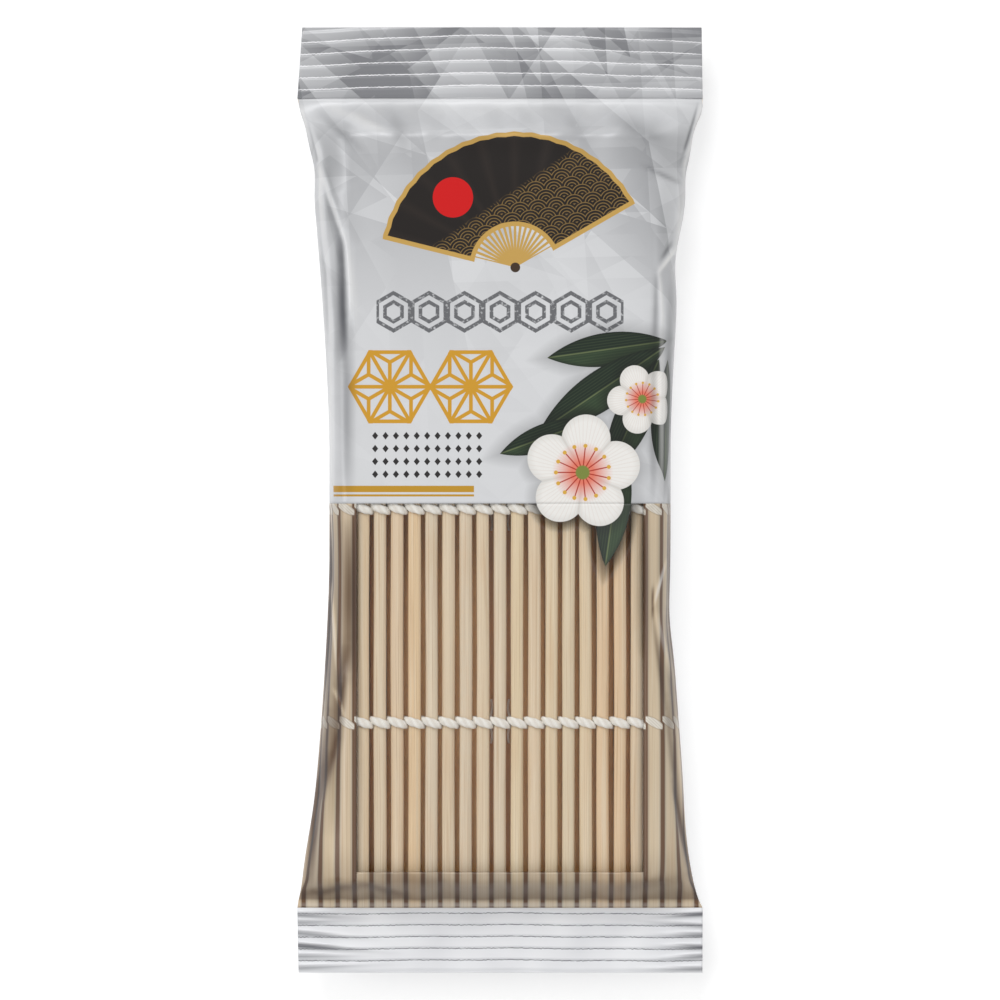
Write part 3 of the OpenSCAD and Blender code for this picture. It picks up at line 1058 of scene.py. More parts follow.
# %% Panels of the back film
BACK_ARC = 26
BACK_ROWS = 190
BACK_STEP = 1.6
STEP_RUN = 1.0
TABLE_GAP = 0.2


def low_z(y):
    """Height of the back film over the table."""
    return SEAL_Z - half_height(y)


def back_grid(rows, side):
    """Points of a back panel at rows y, from the fin seal at the middle out to the side fold."""
    y = rows[:, None]
    angle = np.linspace(np.pi / 2, 0, BACK_ARC)
    out, deep = side_arc(y, angle, side)
    flat = np.arange(0, flat_half - BACK_STEP / 2, BACK_STEP)
    level = np.broadcast_to(flat, (len(rows), len(flat)))
    bottom = np.broadcast_to(low_z(y), level.shape)
    x = side * np.hstack([level, flat_half + out])
    z = np.hstack([bottom, SEAL_Z - deep])
    if side < 0:
        over_fin = np.clip((x + FIN_WIDTH + STEP_RUN) / STEP_RUN, 0, 1)
        z = z + over_fin * (np.maximum(low_z(y), FIN_THICKNESS) - low_z(y))
    return np.stack([x, np.broadcast_to(y, x.shape), z], -1)


def add_back(name, side):
    """One half of the back. The right half is turned round, so that its outer face looks down as well."""
    grid = back_grid(np.linspace(FOOT_Y, HEAD_Y, BACK_ROWS), side)
    across = across_of(grid)
    if side > 0:
        grid, across = grid[:, ::-1], across[:, ::-1]
    y, z = grid[..., 1], grid[..., 2]
    wave = gathers_at(across, y, 11 + side) * hold_at(y, z) * np.clip((z - TABLE_GAP) / 2, 0, 1)
    grid = grid + grid_normals(grid) * wave[..., None]
    return add_sheet(name, grid, film_at(grid[..., 2]), {"across": across})


back_left = add_back("back_film_left", -1)
back_right = add_back("back_film_right", 1)
print("back film faces:", len(back_left.data.polygons))

# %% Fin seal on the back
FIN_ROWS = 260
FIN_COLUMNS = 26
FIN_CRIMP = 0.08
FIN_CRIMP_PITCH = 2.4
FIN_LIFT = 0.17
FIN_LOWEST = 0.02
FIN_FILM = 0.25


def add_fin():
    """Band along the back, folded to the left. Its fine ribs are a sine across it without its sign."""
    rows = np.linspace(FOOT_Y, HEAD_Y, FIN_ROWS)[:, None]
    x = np.linspace(-FIN_WIDTH, 0, FIN_COLUMNS)[None]
    crimp = FIN_CRIMP * np.abs(np.sin(np.pi * x / FIN_CRIMP_PITCH))
    under = np.maximum(low_z(rows), FIN_THICKNESS) - FIN_THICKNESS + FIN_LIFT - crimp
    lower = np.stack(np.broadcast_arrays(x, rows, np.maximum(under, FIN_LOWEST)), -1)[:, ::-1]
    return add_sheet("fin_seal_film", lower, FIN_FILM, {"across": np.broadcast_to(x, under.shape)})


fin = add_fin()
print("fin seal faces:", len(fin.data.polygons))

# %% [markdown]
# ## The end seals
#
# Hot jaws press both films together and leave ribs across the pack. Each rib is a saw tooth: the film rises
# gently over most of the pitch and falls back at once, and a painted shade lies along each rib. The sharp
# edge of the jaws leaves one thin, jagged line at each tooth, painted as a highlight on the head seal and as
# shade on the foot seal. At the foot, the film was creased when the jaws closed, so lens-shaped puckers lie
# at both ends of the ribs, with painted shade in them.

# %% Ribs and puckers
RIB_PITCH = 3.85
# height, pitch and turns of the seed, of each of two sines
RIB_WAVER = ((0.16, 17, 1), (0.09, 5.3, 2))
BOW_AT_SEAM = 0.4
PUCKERS = 6
# shift, lean, reach and height: lowest, highest
PUCKER_RANGES = ((-0.8, -0.08, 9, 0.9), (0.8, 0.08, 19, 1.7))
PUCKER_WIDTH = 0.8


def rib_phase(x, out, first, bow, seed):
    """Number of ribs passed on the way out from the seam. The bow grows with the way out."""
    bulge = bow * (1 - (x / seal_half) ** 2) * (BOW_AT_SEAM + (1 - BOW_AT_SEAM) * out / HEAD_SEAL)
    waver = sum(high * np.sin(x / pitch + turns * seed) for high, pitch, turns in RIB_WAVER)
    return (out - first - bulge - waver) / RIB_PITCH


def puckers_at(x, out, width, seed):
    """Lens-shaped creases at both ends of the ribs: narrow bells across, fading inwards from the side."""
    draw = np.random.default_rng(seed)
    total = np.zeros_like(x)
    for side in (-1, 1):
        for centre in (np.arange(PUCKERS) + 0.5) * width / PUCKERS:
            shift, lean, reach, high = draw.uniform(*PUCKER_RANGES)
            inwards = seal_half - side * x
            away = out - centre - shift - lean * inwards
            total += high * np.exp(-(inwards / reach) ** 2) * np.exp(-(away / PUCKER_WIDTH) ** 2)
    return total


print("ribs that fit on the head seal:", int(HEAD_SEAL / RIB_PITCH))

# %% End seals
RIB_HEIGHT = 0.5
HEAD_RIB = 3.0
HEAD_BOW = 2.3
FOOT_RIB = 1.9
RIBS = 5
TOOTH_RISE = 0.82
RIGHT_TAPER = 0.2
SEAL_ROWS = 130
SEAL_COLUMNS = 300
SEAL_SWAY, SWAY_PITCH = 0.35, 21
RIB_SLOPE = 3
PUCKER_HEIGHT = 0.5
SEAL_FILM = 0.4
SEAL_TOP = 0.25


def add_end_seal(name, y0, y1, seam, first, bow, creased, taper, seed):
    """Slab of two films between y0 and y1. Its free edge is narrower by the taper, and it sways a little."""
    rows = np.linspace(y0, y1, SEAL_ROWS)[:, None]
    columns = np.linspace(-1, 1, SEAL_COLUMNS)[None]
    out = np.abs(rows - seam) + 0 * columns
    x = columns * (seal_half - np.where(columns < 0, taper, taper * RIGHT_TAPER) * out / (y1 - y0))
    phase = rib_phase(x, out, first, bow, seed)
    tooth = phase - np.floor(phase)
    ribbed = np.clip((phase + 1) * RIB_SLOPE, 0, 1) * np.clip((RIBS - phase) * RIB_SLOPE, 0, 1)
    crease = creased * puckers_at(x, out, y1 - y0, seed)
    saw = np.minimum(tooth / TOOTH_RISE, (1 - tooth) / (1 - TOOTH_RISE))
    lift = RIB_HEIGHT * ribbed * saw + PUCKER_HEIGHT * crease
    lift += SEAL_SWAY * np.sin(x / SWAY_PITCH + seed) * out / (y1 - y0)
    grid = np.stack([x, rows + 0 * x, SEAL_Z + SEAL_TOP + lift], -1)
    return add_sheet(name, grid, SEAL_FILM, {"across": x, "rib": phase, "shade": crease})


foot = add_end_seal(
    "foot_seal_film", PACK_FOOT, FOOT_Y, FOOT_Y, FOOT_RIB, bow=0.0, creased=1.0, taper=0.4, seed=5)
head = add_end_seal(
    "tear_off_seal_film", HEAD_Y, HEAD_Y + HEAD_SEAL, HEAD_Y, HEAD_RIB, HEAD_BOW,
    creased=0.15, taper=1.6, seed=8)
print("seal faces:", len(foot.data.polygons))

# %% [markdown]
# ## The floor and the light
#
# The photograph has a plain white ground. The floor and the world get a little light of their own, but only
# for rays from the camera and for reflections. So both look white, the floor still shows the soft shadow
# under the pack, and the light on the object stays plain. The lamps are large and soft. The strongest one
# stands towards the head.

# %% Floor and lamps
WHITE = (1, 1, 1, 1)
FLOOR_TONE = (0.82, 0.82, 0.82, 1)
FLOOR_GLOW = 0.42
FLOOR_HALF = 6000.0
FLOOR_DROP = 0.02
WORLD_LIGHT = 0.545
LAMPS = {
    # name: place in metres, diameter in metres, watts
    "head_lamp": ((-1.0, 3.0, 3.6), 2.4, 74.0),
    "left_lamp": ((-3.6, 0.3, 2.8), 2.0, 39.5),
    "right_lamp": ((3.6, -0.6, 3.2), 2.2, 23.0),
}


def seen_rays(tree):
    """1 for rays from the camera, from a reflection or through glass, 0 for rays that gather light."""
    path = add_node(tree, "LightPath")
    camera_ray, glossy_ray, glass_ray = (
        Field(tree, path.outputs[f"Is {kind} Ray"]) for kind in ("Camera", "Glossy", "Transmission"))
    return larger(camera_ray, glossy_ray, glass_ray)


def make_floor():
    """Square sheet just under the pack, pale grey, with a glow that only seen rays find."""
    corners = np.array([[-1, -1, 0], [1, -1, 0], [1, 1, 0], [-1, 1, 0]]) * FLOOR_HALF
    floor = add_mesh("floor", corners - [0, 0, FLOOR_DROP], np.array([[0, 1, 2, 3]]))
    material, tree, shader = new_material("floor_white", roughness=0.9)
    shader.inputs["Base Color"].default_value = FLOOR_TONE
    shader.inputs["Specular IOR Level"].default_value = 0.0
    shader.inputs["Emission Color"].default_value = WHITE
    plug(tree, seen_rays(tree) * FLOOR_GLOW, shader.inputs["Emission Strength"])
    floor.data.materials.append(material)
    return floor


def add_lamp(name, place, size, energy):
    """Round soft lamp that is aimed at the origin."""
    data = bpy.data.lights.new(name, "AREA")
    data.shape = "DISK"
    data.size = size
    data.energy = energy
    lamp = bpy.data.objects.new(name, data)
    lamp.location = place
    x, y, z = place
    lamp.rotation_euler = (math.atan2(math.hypot(x, y), z), 0, math.atan2(x, -y))
    bpy.context.scene.collection.objects.link(lamp)
    return lamp


print("light of all lamps:", sum(watts for _, _, watts in LAMPS.values()), "watts")

# %% The stage is set
make_floor()
lamps = [add_lamp(name, *values) for name, values in LAMPS.items()]
world = bpy.data.worlds.new("world")
world.use_nodes = True
sky = world.node_tree.nodes["Background"]
sky.inputs["Color"].default_value = WHITE
plug(world.node_tree, seen_rays(world.node_tree) * (1 - WORLD_LIGHT) + WORLD_LIGHT, sky.inputs["Strength"])
bpy.context.scene.world = world
print("lamps:", len(lamps), "world light:", WORLD_LIGHT)

# %% [markdown]
# ## What is printed on the film
#
# The maker prints the film before it is folded into a pack. Around the window the print carries the sticks
# on, over the sides and the slopes, up to the seals. Above it, the ground is a silver grey of overlapping
# facets. The motifs are common ones of the Japanese kitchen: a folding fan with a sun and waves, a band of
# tortoise shell, two hemp-leaf stars, bamboo leaves and plum blossom. All are drawn with distances, so they
# stay sharp at any size. Print coordinates are the width coordinate of the film and y.

# %% Helpers for motifs
PLACE = {"Across": "Float", "Along": "Float"}
HALF_ROOT_3 = 0.866


def turned(x, y, centre, angle):
    """Coordinates of (x, y) in a frame at the centre that is turned by the angle in degrees."""
    c, s = math.cos(math.radians(angle)), math.sin(math.radians(angle))
    return tuple(
        x.math("MULTIPLY_ADD", a, y.math("MULTIPLY_ADD", b, -a * centre[0] - b * centre[1]))
        for a, b in ((c, s), (-s, c)))


def box_edge(x, y, middle_x, middle_y, half_x, half_y):
    """Distance from a rectangle, by its farther side."""
    return larger(abs(x - middle_x) - half_x, abs(y - middle_y) - half_y)


def folded(value, period):
    """Distance of the value from the nearest whole number of periods."""
    return value.math("PINGPONG", period / 2)


print("the print's sockets:", list(PLACE))

# %% Group: sticks printed round the window
STITCH_LENGTH = 3.25
STITCH_WIDTH = 1.42
PRINT_SHADE = tone(142, 134, 122)
PRINT_GAP = tone(98, 67, 40)
STITCH_DARK, STITCH_LIGHT = tone(206, 198, 184), tone(226, 221, 210)
STITCH_SHADOW = tone(128, 108, 86)


def make_printed_sticks():
    """The tones of the real sticks by number, with brown gaps between them and the stitches of two rows."""
    group, (across, along) = new_group("printed_sticks", PLACE, {"Colour": "Color"})
    step = (across / PITCH).math("ROUND")
    beside = across - step * PITCH
    share = larger(smaller(beside / (STICK_WIDTH / 2), 1.0), -1.0)
    around = share.math("ARCCOSINE") * ROUND_SCALE
    looks = use_group(group, BAMBOO, Number=step + MIDDLE_STICK, Across=around, Along=along)
    rounded = larger(abs(share) - 0.5, 0.0)
    colour = mix(looks["Colour"], PRINT_SHADE, rounded * rounded * 2.0 + 0.3)
    colour = mix(PRINT_GAP, colour, (abs(beside) - STICK_WIDTH / 2).step_in(0.3))
    for row in ("foot", "middle"):
        sag = along - ROWS[row] + beside * (2 * SWING / PITCH)
        edge = length_of(beside / STITCH_LENGTH, sag / STITCH_WIDTH) - 1.0
        ply = ((beside * 1.2 + sag * 2.6) * 2.4).math("SINE") * 0.5 + 0.5
        thread = mix(STITCH_DARK, STITCH_LIGHT, ply)
        colour = mix(colour, STITCH_SHADOW, (edge - 0.16).step_in(0.4) * 0.55)
        colour = mix(colour, thread, edge.step_in(0.16))
    put_out(group, Colour=colour)
    return group


PRINTED_STICKS = make_printed_sticks()
print("nodes in the printed sticks:", len(PRINTED_STICKS.nodes))

# %% Group: facets of the silver ground
# size, angle, weight
TRIANGLES = ((36.0, 12.0, 0.75), (23.0, -33.0, 0.6), (15.0, 55.0, 0.4))
SHARDS = ((31.0, 37.0, 0.4), (26.0, -52.0, 0.4), (43.0, 74.0, 0.35))
SKEW, FLATNESS = 0.55, 0.8
NEXT_ROW = 13.0
SILVER, DARK_SILVER = tone(216, 217, 219), tone(118, 119, 123)


def make_facet_group():
    """Darkness of overlapping shapes, each with a gradient: triangles of three sizes and bands in three ways.
    Triangles are the halves of a skewed grid: the sum of both fractions says in which half a point lies."""
    group, (across, along) = new_group("facets", PLACE, {"Dark": "Float"})
    dark = across * 0.0
    for size, angle, weight in TRIANGLES:
        u, v = turned(across, along, (0, 0), angle)
        a, b = u / size, (v + u * SKEW) / (size * FLATNESS)
        column, row = a.math("FLOOR"), b.math("FLOOR")
        share_a, share_b = a - column, b - row
        upper = (share_a + share_b).math("GREATER_THAN", 1.0)
        chance = random_of(group, column + upper * 0.5 + row * NEXT_ROW, angle)
        dark = dark + chance.ramp(2.4, -1.2) * (share_a * 0.6 + 0.4) * weight
    for width, angle, weight in SHARDS:
        band = turned(across, along, (0, 0), angle)[0] / width
        number = band.math("FLOOR")
        dark = dark + random_of(group, number, angle).ramp(2.2, -1.0) * (band - number) * weight
    put_out(group, Dark=dark.ramp())
    return group


def silver_ground(tree, across, y, strength):
    """Silver white that the facets darken by a strength."""
    dark = use_group(tree, FACETS, Across=across, Along=y)["Dark"]
    return mix(SILVER, DARK_SILVER, dark * strength)


FACETS = make_facet_group()
print("nodes in the facets:", len(FACETS.nodes))

# %% A leaf
LEAVES = (
    # root x, root y, angle, length, width
    (55.0, 52.0, 188.0, 40.0, 11.0),
    (54.0, 50.0, 214.0, 50.0, 13.0),
    (52.0, 46.0, 246.0, 42.0, 12.0),
    (56.0, 46.0, 268.0, 40.0, 12.0),
    (30.0, 26.0, 200.0, 32.0, 9.0),
    (40.0, 18.0, 262.0, 40.0, 11.0),
)
LEAF_SHADOW, LEAF_RIM = tone(12, 14, 12), tone(12, 18, 13)
LEAF_DARK, LEAF_LIGHT = tone(24, 37, 27), tone(45, 62, 42)
LEAF_VEIN, MIDRIB = tone(76, 92, 62), tone(112, 124, 84)


def draw_leaf(x, y, colour, cover, leaf):
    """A leaf is where two circles cross. One half is lighter, and fine veins run beside the midrib."""
    root_x, root_y, angle, length, width = leaf
    away = np.array([math.cos(math.radians(angle)), math.sin(math.radians(angle))]) * length / 2
    along, beside = turned(x, y, (root_x + away[0], root_y + away[1]), angle)
    radius = (length ** 2 + width ** 2) / (4 * width)
    edge = length_of(along, abs(beside) + (radius - width / 2)) - radius
    shade = (edge - 2.0).step_in(5.0)
    colour = mix(colour, LEAF_SHADOW, shade * 0.6)
    green = mix(LEAF_DARK, LEAF_LIGHT, (-beside).step_in(1.2))
    veins = folded(beside + 20.0, 0.9) - 0.1
    green = mix(green, LEAF_VEIN, veins.step_in(0.3) * 0.35)
    green = mix(green, MIDRIB, (abs(beside) - 0.2).step_in(0.3) * 0.7)
    green = mix(green, LEAF_RIM, (-edge - 0.7).step_in(1.2) * 0.6)
    mask = edge.step_in()
    return mix(colour, green, mask), larger(cover, mask, shade * 0.35)


print("leaves:", len(LEAVES))

# %% A blossom
# middle x, middle y, size, turn
BLOSSOMS = ((27.0, 9.0, 19.0, 12.0), (46.5, 33.0, 11.5, 40.0))
PETAL, PETAL_RIM = tone(237, 235, 231), tone(206, 204, 199)
PETAL_SEAM, PETAL_VEIN = tone(190, 186, 180), tone(216, 200, 190)
BLOSSOM_SHADOW, BLUSH = tone(10, 11, 10), tone(226, 106, 78)
THREAD, BEAD, EYE = tone(170, 52, 36), tone(214, 168, 70), tone(122, 134, 62)
# shares of the size: where a petal's circle lies and its radius, beads, eye
PETAL_OUT, PETAL_RADIUS = 0.58, 0.42
BEAD_OUT, EYE_RADIUS = 0.46, 0.12


def draw_blossom(x, y, colour, cover, blossom):
    """Five round petals: the angle folds into one petal, whose circle lies a little way out."""
    centre_x, centre_y, size, turn = blossom
    u, v = turned(x, y, (centre_x, centre_y), turn)
    out = length_of(u, v)
    angle = v.math("ARCTAN2", u)
    fold = folded(angle, 2 * math.pi / 5)
    petal = length_of(out * fold.math("COSINE") - size * PETAL_OUT, out * fold.math("SINE"))
    petal = petal - size * PETAL_RADIUS
    edge = smaller(petal, out - size * 0.4)
    shade = (edge - 1.5).step_in(5.0)
    colour = mix(colour, BLOSSOM_SHADOW, shade * 0.75)
    seam = (math.pi / 5 - fold) * out
    white = mix(PETAL, PETAL_SEAM, (seam - 0.2).step_in(1.4) * 0.75)
    white = mix(white, PETAL_RIM, (-edge - 1.2).step_in(2.4) * 0.5)
    vein = folded(angle, 0.09) * out - 0.07
    white = mix(white, PETAL_VEIN, vein.step_in(0.3) * 0.45)
    white = mix(white, BLUSH, (out - size * 0.36).step_in(size * 0.34) * 0.9)
    spoke = folded(angle, 2 * math.pi / 15)
    bead = length_of(out * spoke.math("COSINE") - size * BEAD_OUT, out * spoke.math("SINE"))
    bead = bead - size * 0.035
    thread = larger(out * spoke.math("SINE") - size * 0.01, out - size * BEAD_OUT)
    white = mix(white, THREAD, thread.step_in(0.16))
    white = mix(white, BEAD, bead.step_in())
    white = mix(white, EYE, (out - size * EYE_RADIUS).step_in(0.4))
    mask = edge.step_in()
    return mix(colour, white, mask), larger(cover, mask, shade * 0.4)


print("blossoms:", len(BLOSSOMS))

# %% The picture
def make_picture(name, leaves, blossoms):
    """Leaves from the back to the front, then blossoms, with the soft shadow that each casts."""
    group, (x, y) = new_group(name, PLACE, {"Colour": "Color", "Cover": "Float"})
    colour, cover = mix(LEAF_SHADOW, LEAF_SHADOW, x), x * 0.0
    for leaf in leaves:
        colour, cover = draw_leaf(x, y, colour, cover, leaf)
    for blossom in blossoms:
        colour, cover = draw_blossom(x, y, colour, cover, blossom)
    put_out(group, Colour=colour, Cover=cover)
    return group


PICTURE = make_picture("leaves_and_blossoms", LEAVES, BLOSSOMS)
WINDOW_PICTURE = make_picture("leaf_and_blossom_over_the_window", LEAVES[-1:], BLOSSOMS[:1])
print("nodes in the pictures:", len(PICTURE.nodes), len(WINDOW_PICTURE.nodes))

# %% The fan
FAN_PIVOT = (5.0, 76.0)
FAN_TILT = 8.0
FAN_RADIUS = 43.0
FAN_INNER = 15.0
FAN_SPREAD = 68.0
FAN_FOLDS = 18
FAN_RIB = 0.84
FAN_ZIGZAG = 5.0
FAN_RIM = 1.5
FAN_PIN = 1.6
GOLD, GOLD_LINE = tone(196, 158, 84), tone(176, 142, 82)
PAPER, PAPER_SHEEN = tone(22, 16, 13), tone(52, 42, 36)
SUN_RED, PIN_BROWN = tone(206, 16, 18), tone(60, 44, 30)
# middle and radius, from the pivot
SUN = (-17.0, 25.5, 6.6)
WAVE = 6.0


def draw_fan(x, y, colour):
    """Folding fan in polar coordinates round its pivot: dark paper with a gold rim, a sun and waves."""
    u, v = turned(x, y, FAN_PIVOT, FAN_TILT)
    out = length_of(u, v)
    angle = u.math("ARCTAN2", v)
    step = math.radians(2 * FAN_SPREAD) / FAN_FOLDS
    fold = folded(angle, step)
    sides = (abs(angle) - math.radians(FAN_SPREAD)) * out
    paper = larger(out + fold * FAN_ZIGZAG - FAN_RADIUS, FAN_INNER - out, sides)
    ink = mix(PAPER, PAPER_SHEEN, folded(angle, 2 * step).ramp(4.0, -2.0 * step))
    row = (v / (WAVE / 2)).math("FLOOR")
    scale_x = folded(u + row * (WAVE / 2) + 200.0, WAVE)
    ring = length_of(scale_x, v - row * (WAVE / 2) + WAVE * 0.1)
    scallop = abs(folded(ring, WAVE / 3) - WAVE / 12) - 0.12
    sea = (u * 0.5 - v).ramp(0.5, 12.0)
    ink = mix(ink, GOLD_LINE, scallop.step_in(0.2) * sea * 0.6)
    sun = length_of(u - SUN[0], v - SUN[1]) - SUN[2]
    ink = mix(ink, SUN_RED, sun.step_in())
    rib = larger(fold * out - FAN_RIB / 2, out - FAN_INNER, sides)
    colour = mix(colour, GOLD, rib.step_in())
    colour = mix(colour, GOLD, (paper - FAN_RIM).step_in())
    colour = mix(colour, ink, paper.step_in())
    return mix(colour, PIN_BROWN, (out - FAN_PIN).step_in())


print("each fold of the fan spans", round(2 * FAN_SPREAD / FAN_FOLDS, 1), "degrees")

# %% Band of shells and the stars
SHELL_Y = 61.5
SHELL_PITCH = 11.6
SHELL_GREY = tone(104, 105, 108)
STARS = ((-36.0, 37.0), (-9.5, 37.0))
STAR_SIZE = 12.0
STAR_GOLD = tone(205, 152, 46)
LINE_HALF = 0.62


def hexagon(x, y):
    """Distance from the origin across the flats of a hexagon that stands on a corner."""
    return larger(abs(x), abs(x) * 0.5 + abs(y) * HALF_ROOT_3)


def draw_shells(x, y, colour):
    """Band of tortoise shell: hexagons side by side, each with a smaller one inside."""
    size = hexagon(folded(x, SHELL_PITCH), y - SHELL_Y)
    line = smaller(abs(size - SHELL_PITCH * 0.46) - LINE_HALF, abs(size - SHELL_PITCH * 0.24) - 0.6)
    band = larger(line, abs(x) - SHELL_PITCH * 3.48)
    worn = noise(x.tree, join(x.tree, x, y), 0.9, 3.0)
    return mix(colour, SHELL_GREY, band.step_in() * worn.ramp(5.0, -1.3))


def draw_star(x, y, colour, centre):
    """Hemp leaf: a hexagon cut in six triangles, with the middle of each joined to its three corners."""
    u, v = x - centre[0], y - centre[1]
    out = length_of(u, v)
    angle = folded(u.math("ARCTAN2", v), math.pi / 3)
    along, beside = out * angle.math("COSINE"), out * angle.math("SINE")
    far = STAR_SIZE * 2 / 3
    spoke = abs(along * 0.5 - beside * HALF_ROOT_3)
    middle = larger(beside, along - far)
    branch = larger(abs((along - far) * HALF_ROOT_3 - beside * 0.5), far - along)
    rim = abs(along - STAR_SIZE + 0.7)
    line = smaller(spoke, middle, branch, rim) - LINE_HALF
    return mix(colour, STAR_GOLD, larger(line, along - STAR_SIZE).step_in())


print("shell pitch:", SHELL_PITCH, "mm, stars across:", 2 * STAR_SIZE, "mm")

# %% Group: the motifs of the printed half
SEED_BOX = (-23.8, 14.7, 18.6, 7.9)
SEED_GREY = tone(40, 38, 38)
BAR_BOX = (-32.5, 2.9, 24.0, 1.75)
BAR_SLIT = (2.2, 0.35)
BAR_GOLD = tone(190, 144, 44)


def make_motifs():
    """Everything on the printed half but the leaves and blossoms, laid over the ground that comes in."""
    group, (x, y, ground) = new_group("motifs", {**PLACE, "Ground": "Color"}, {"Colour": "Color"})
    colour = draw_shells(x, y, draw_fan(x, y, ground))
    for centre in STARS:
        colour = draw_star(x, y, colour, centre)
    seeds = folded(x, 3.4) + folded(y, 4.2) * 0.8 - 1.0
    colour = mix(colour, SEED_GREY, larger(seeds, box_edge(x, y, *SEED_BOX)).step_in())
    bar = larger(box_edge(x, y, *BAR_BOX), BAR_SLIT[1] - abs(y - BAR_SLIT[0]))
    colour = mix(colour, BAR_GOLD, bar.step_in())
    put_out(group, Colour=colour)
    return group


MOTIFS = make_motifs()
print("nodes in the motifs:", len(MOTIFS.nodes))

# %% [markdown]
# ## Film finishes
#
# The film is smooth plastic with a soft gloss. Printed parts are opaque. In the window it is clear, so its
# material is mostly transparent and adds reflections, more of them at a flat angle, as Layer Weight says,
# and a painted shade in the creases. The shade attribute paints shade into the deep creases and highlights
# as the bright streaks that crumpled film has along its sides.

# %% Creases in a print
CREASE_CONTRAST = 1.55
PAINTED_HIGHLIGHT = tone(242, 241, 239)


def creased(colour, deep, shade):
    """Painted shade: the colour times the deep tone where the shade is positive. Painted highlight: lighter
    where it is negative.
    """
    colour = mix(colour, deep, shade.ramp(CREASE_CONTRAST), "MULTIPLY")
    return mix(colour, PAINTED_HIGHLIGHT, shade.ramp(-1.0))


print("a print is all deep from a shade of", round(1 / CREASE_CONTRAST, 2))

# %% Printed film
SILVER_IN_PAINTED_SHADE = tone(104, 105, 109)


def make_printed_film():
    """Upper half of the front: silver ground with facets, motifs, and the leaves and blossoms."""
    material, tree, shader = new_material("printed_film", roughness=0.38, metallic=0.1)
    shader.inputs["Specular IOR Level"].default_value = 0.28
    y = position(tree)[1]
    across = attribute(tree, "across")
    # the ground gets darker facets towards the head and at the right, and lighter ones beside the head seal
    strength = y.rise(62.0, 102.0) * 0.3 + y.rise(20.0, 60.0) * 0.1 + 0.05
    strength = strength - y.rise(110.0, 124.0) * 0.2 + across.rise(34.0, 48.0) * 0.12
    ground = silver_ground(tree, across, y, strength)
    colour = use_group(tree, MOTIFS, Across=across, Along=y, Ground=ground)["Colour"]
    picture = use_group(tree, PICTURE, Across=across, Along=y)
    colour = mix(colour, picture["Colour"], picture["Cover"])
    # painted shade in the creases and painted highlights on their ridges
    plug(tree, creased(colour, SILVER_IN_PAINTED_SHADE, attribute(tree, "shade")), shader.inputs["Base Color"])
    return material


printed_film = make_printed_film()
print("nodes in the printed film:", len(printed_film.node_tree.nodes))

# %% Film with the printed sticks
BROWN_IN_PAINTED_SHADE = tone(106, 82, 56)


def make_stick_film():
    """Round the window: the printed sticks, a little darker than bare ones, and the painted shade and
    highlights of the creases.
    """
    material, tree, shader = new_material("stick_print_film", roughness=0.38, metallic=0.05)
    across = attribute(tree, "across")
    colour = use_group(tree, PRINTED_STICKS, Across=across, Along=position(tree)[1])["Colour"]
    # painted shade in the creases and painted highlights on their ridges
    plug(tree, creased(colour, BROWN_IN_PAINTED_SHADE, attribute(tree, "shade")), shader.inputs["Base Color"])
    return material


stick_film = make_stick_film()
print("nodes in the film with sticks:", len(stick_film.node_tree.nodes))

# %% Clear film of the window
PAINTED_WINDOW_SHADE = tone(34, 26, 18)
CLEAR = tone(240, 240, 240)
GLOSS = 0.015
EDGE_GLOSS = 0.5
PAINTED_WINDOW_SHADE_SHARE = 0.42


def make_window_film():
    """Clear film: a little gloss, more at a flat angle, painted shade as a dark tint in the creases, and part
    of the picture. The Facing output serves here, because Fresnel would turn the inner side of the thin sheet
    into a mirror."""
    material, tree, shader = new_material("window_film")
    shade = attribute(tree, "shade").ramp()
    picture = use_group(tree, WINDOW_PICTURE, Across=attribute(tree, "across"), Along=position(tree)[1])
    # painted shade: the clear film turns to a dark tint where the crease shade lies
    colour = mix(CLEAR, PAINTED_WINDOW_SHADE, shade.ramp(8.0))
    colour = mix(colour, picture["Colour"], picture["Cover"].ramp(8.0))
    plug(tree, colour, shader.inputs["Base Color"])
    weight = add_node(tree, "LayerWeight")
    weight.inputs["Blend"].default_value = 0.5
    gloss = Field(tree, weight.outputs["Facing"]) ** 3.0 * EDGE_GLOSS + GLOSS
    # the picture's ink and the painted shade both make the film less clear
    ink_and_shade = larger(picture["Cover"], shade * PAINTED_WINDOW_SHADE_SHARE)
    plug(tree, larger(gloss, ink_and_shade), shader.inputs["Alpha"])
    plug(tree, ink_and_shade.ramp(-8.0, 0.8), shader.inputs["Metallic"])
    plug(tree, ink_and_shade.ramp(4.0) * 0.26 + 0.12, shader.inputs["Roughness"])
    return material


window_film = make_window_film()
print("nodes in the clear film:", len(window_film.node_tree.nodes))

# %% Film of the back
PAINTED_BOUNCE_INSIDE, PAINTED_BOUNCE_INSIDE_CLOUD, PAINTED_BOUNCE_INSIDE_WARM = tone(206, 182, 150), tone(188, 168, 142), tone(222, 164, 108)
OTHER_FACETS = 300.0


def make_back_film():
    """Back of the pack: silver ground with faint facets. Inside, a painted warm bounce light from the sticks
    on it, stronger in a strip along the middle.
    """
    material, tree, shader = new_material("back_film", roughness=0.4, metallic=0.1)
    y = position(tree)[1]
    across = attribute(tree, "across")
    colour = silver_ground(tree, across + OTHER_FACETS, y, 0.14)
    cloud = noise(tree, join(tree, across, y), 0.05, 2.0)
    # painted warm bounce light from the sticks on the inner face, stronger along the middle
    inside = mix(PAINTED_BOUNCE_INSIDE, PAINTED_BOUNCE_INSIDE_CLOUD, cloud.ramp(3.0, -1.0))
    inside = mix(inside, PAINTED_BOUNCE_INSIDE_WARM, (abs(across) - 7.0).step_in(6.0) * 0.8)
    plug(tree, mix(colour, inside, attribute(tree, "inside")), shader.inputs["Base Color"])
    return material


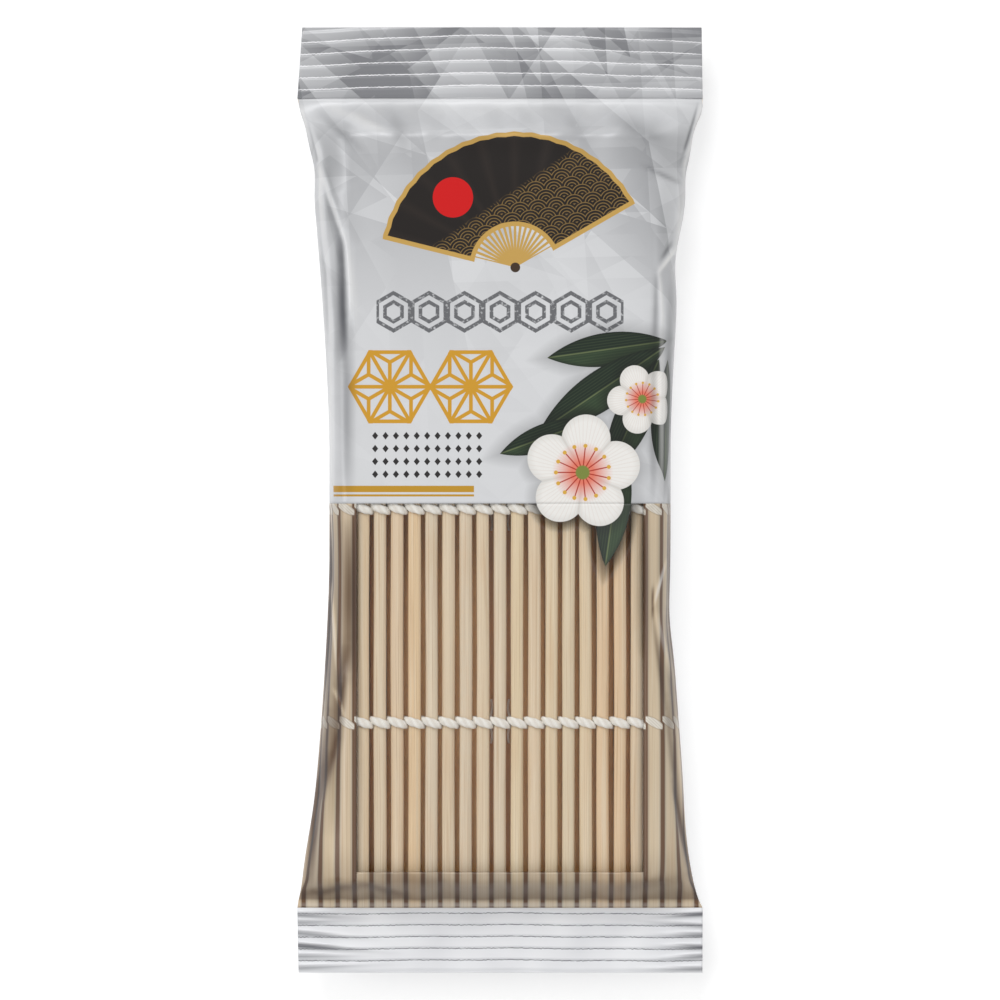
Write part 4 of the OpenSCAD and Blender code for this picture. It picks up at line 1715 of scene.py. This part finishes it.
back_film = make_back_film()
print("nodes in the back film:", len(back_film.node_tree.nodes))

# %% Film of the seals
RIB_SHADE, PUCKER_SHADE, SEAL_CLOUD = tone(120, 121, 125), tone(112, 113, 118), tone(216, 217, 221)
FOOT_GROUND, FOOT_LINE_SHADE, HEAD_LINE_HIGHLIGHT = tone(246, 247, 249), tone(96, 97, 102), tone(240, 240, 242)
JAG = 0.05
LINE_WIDTH = 0.036


def make_seal_film(name, ground, facets, band, line_tone):
    """Pressed ribs: a painted shade on each rib that darkens away from its line, the thin jagged line of the
    jaws in a painted tone, and painted shade in the puckers.
    """
    material, tree, shader = new_material(name, roughness=0.36, metallic=0.1)
    y = position(tree)[1]
    across = attribute(tree, "across")
    rib = attribute(tree, "rib")
    if facets:
        colour = silver_ground(tree, across, y, facets)
    else:
        colour = mix(ground, SEAL_CLOUD, noise(tree, join(tree, across, y), 0.06, 1.0))
    tooth = rib - rib.math("FLOOR")
    # painted shade on each rib
    colour = mix(colour, RIB_SHADE, (1.0 - tooth) * band)
    jag = random_of(tree, (across * 1.6).math("FLOOR"), 3.0) * JAG - JAG / 2
    line = larger(folded(rib + jag, 1.0) - LINE_WIDTH, abs(rib - (RIBS - 1) / 2) - RIBS / 2)
    fade = noise(tree, join(tree, across * 0.3, rib * 3.0), 1.0, 2.0)
    # the jaw line in a painted tone: a highlight on the head seal, shade on the foot seal
    colour = mix(colour, line_tone, line.step_in(0.05) * fade.ramp(2.4, -0.3))
    # painted shade in the puckers
    colour = mix(colour, PUCKER_SHADE, attribute(tree, "shade").ramp(0.7))
    plug(tree, colour, shader.inputs["Base Color"])
    return material


foot_film = make_seal_film("foot_seal_film", FOOT_GROUND, 0.0, 0.08, FOOT_LINE_SHADE)
head_film = make_seal_film("tear_off_film", None, 0.92, 0.42, HEAD_LINE_HIGHLIGHT)
print("nodes in the seal films:", len(foot_film.node_tree.nodes), len(head_film.node_tree.nodes))

# %% Each film piece on its body
for piece, body, nodes, slot, material in (
    (front_panels["front_film_printed"], "pack", ["film_front_printed"], "printed_film", printed_film),
    (front_panels["front_film_window"], "pack", ["film_front_window"], "clear_film", window_film),
    (front_panels["front_film_foot"], "pack", [], "printed_film", stick_film),
    (front_panels["front_film_left"], "pack", [], "printed_film", stick_film),
    (front_panels["front_film_right"], "pack", [], "printed_film", stick_film),
    (back_left, "pack", ["film_back_left"], "back_film", back_film),
    (back_right, "pack", ["film_back_right"], "back_film", back_film),
    (fin, "pack", ["fin_seal"], "back_film", back_film),
    (foot, "pack", ["foot_seal"], "seal_film", foot_film),
    (head, "tear_off_strip", ["tear_off_seal"], "seal_film", head_film),
):
    piece.data.materials.append(material)
    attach(piece, body)
    if nodes:
        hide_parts(*nodes)
    if body == "pack":
        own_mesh(piece)
    print(piece.name, "rides on", body, "and replaces", nodes)
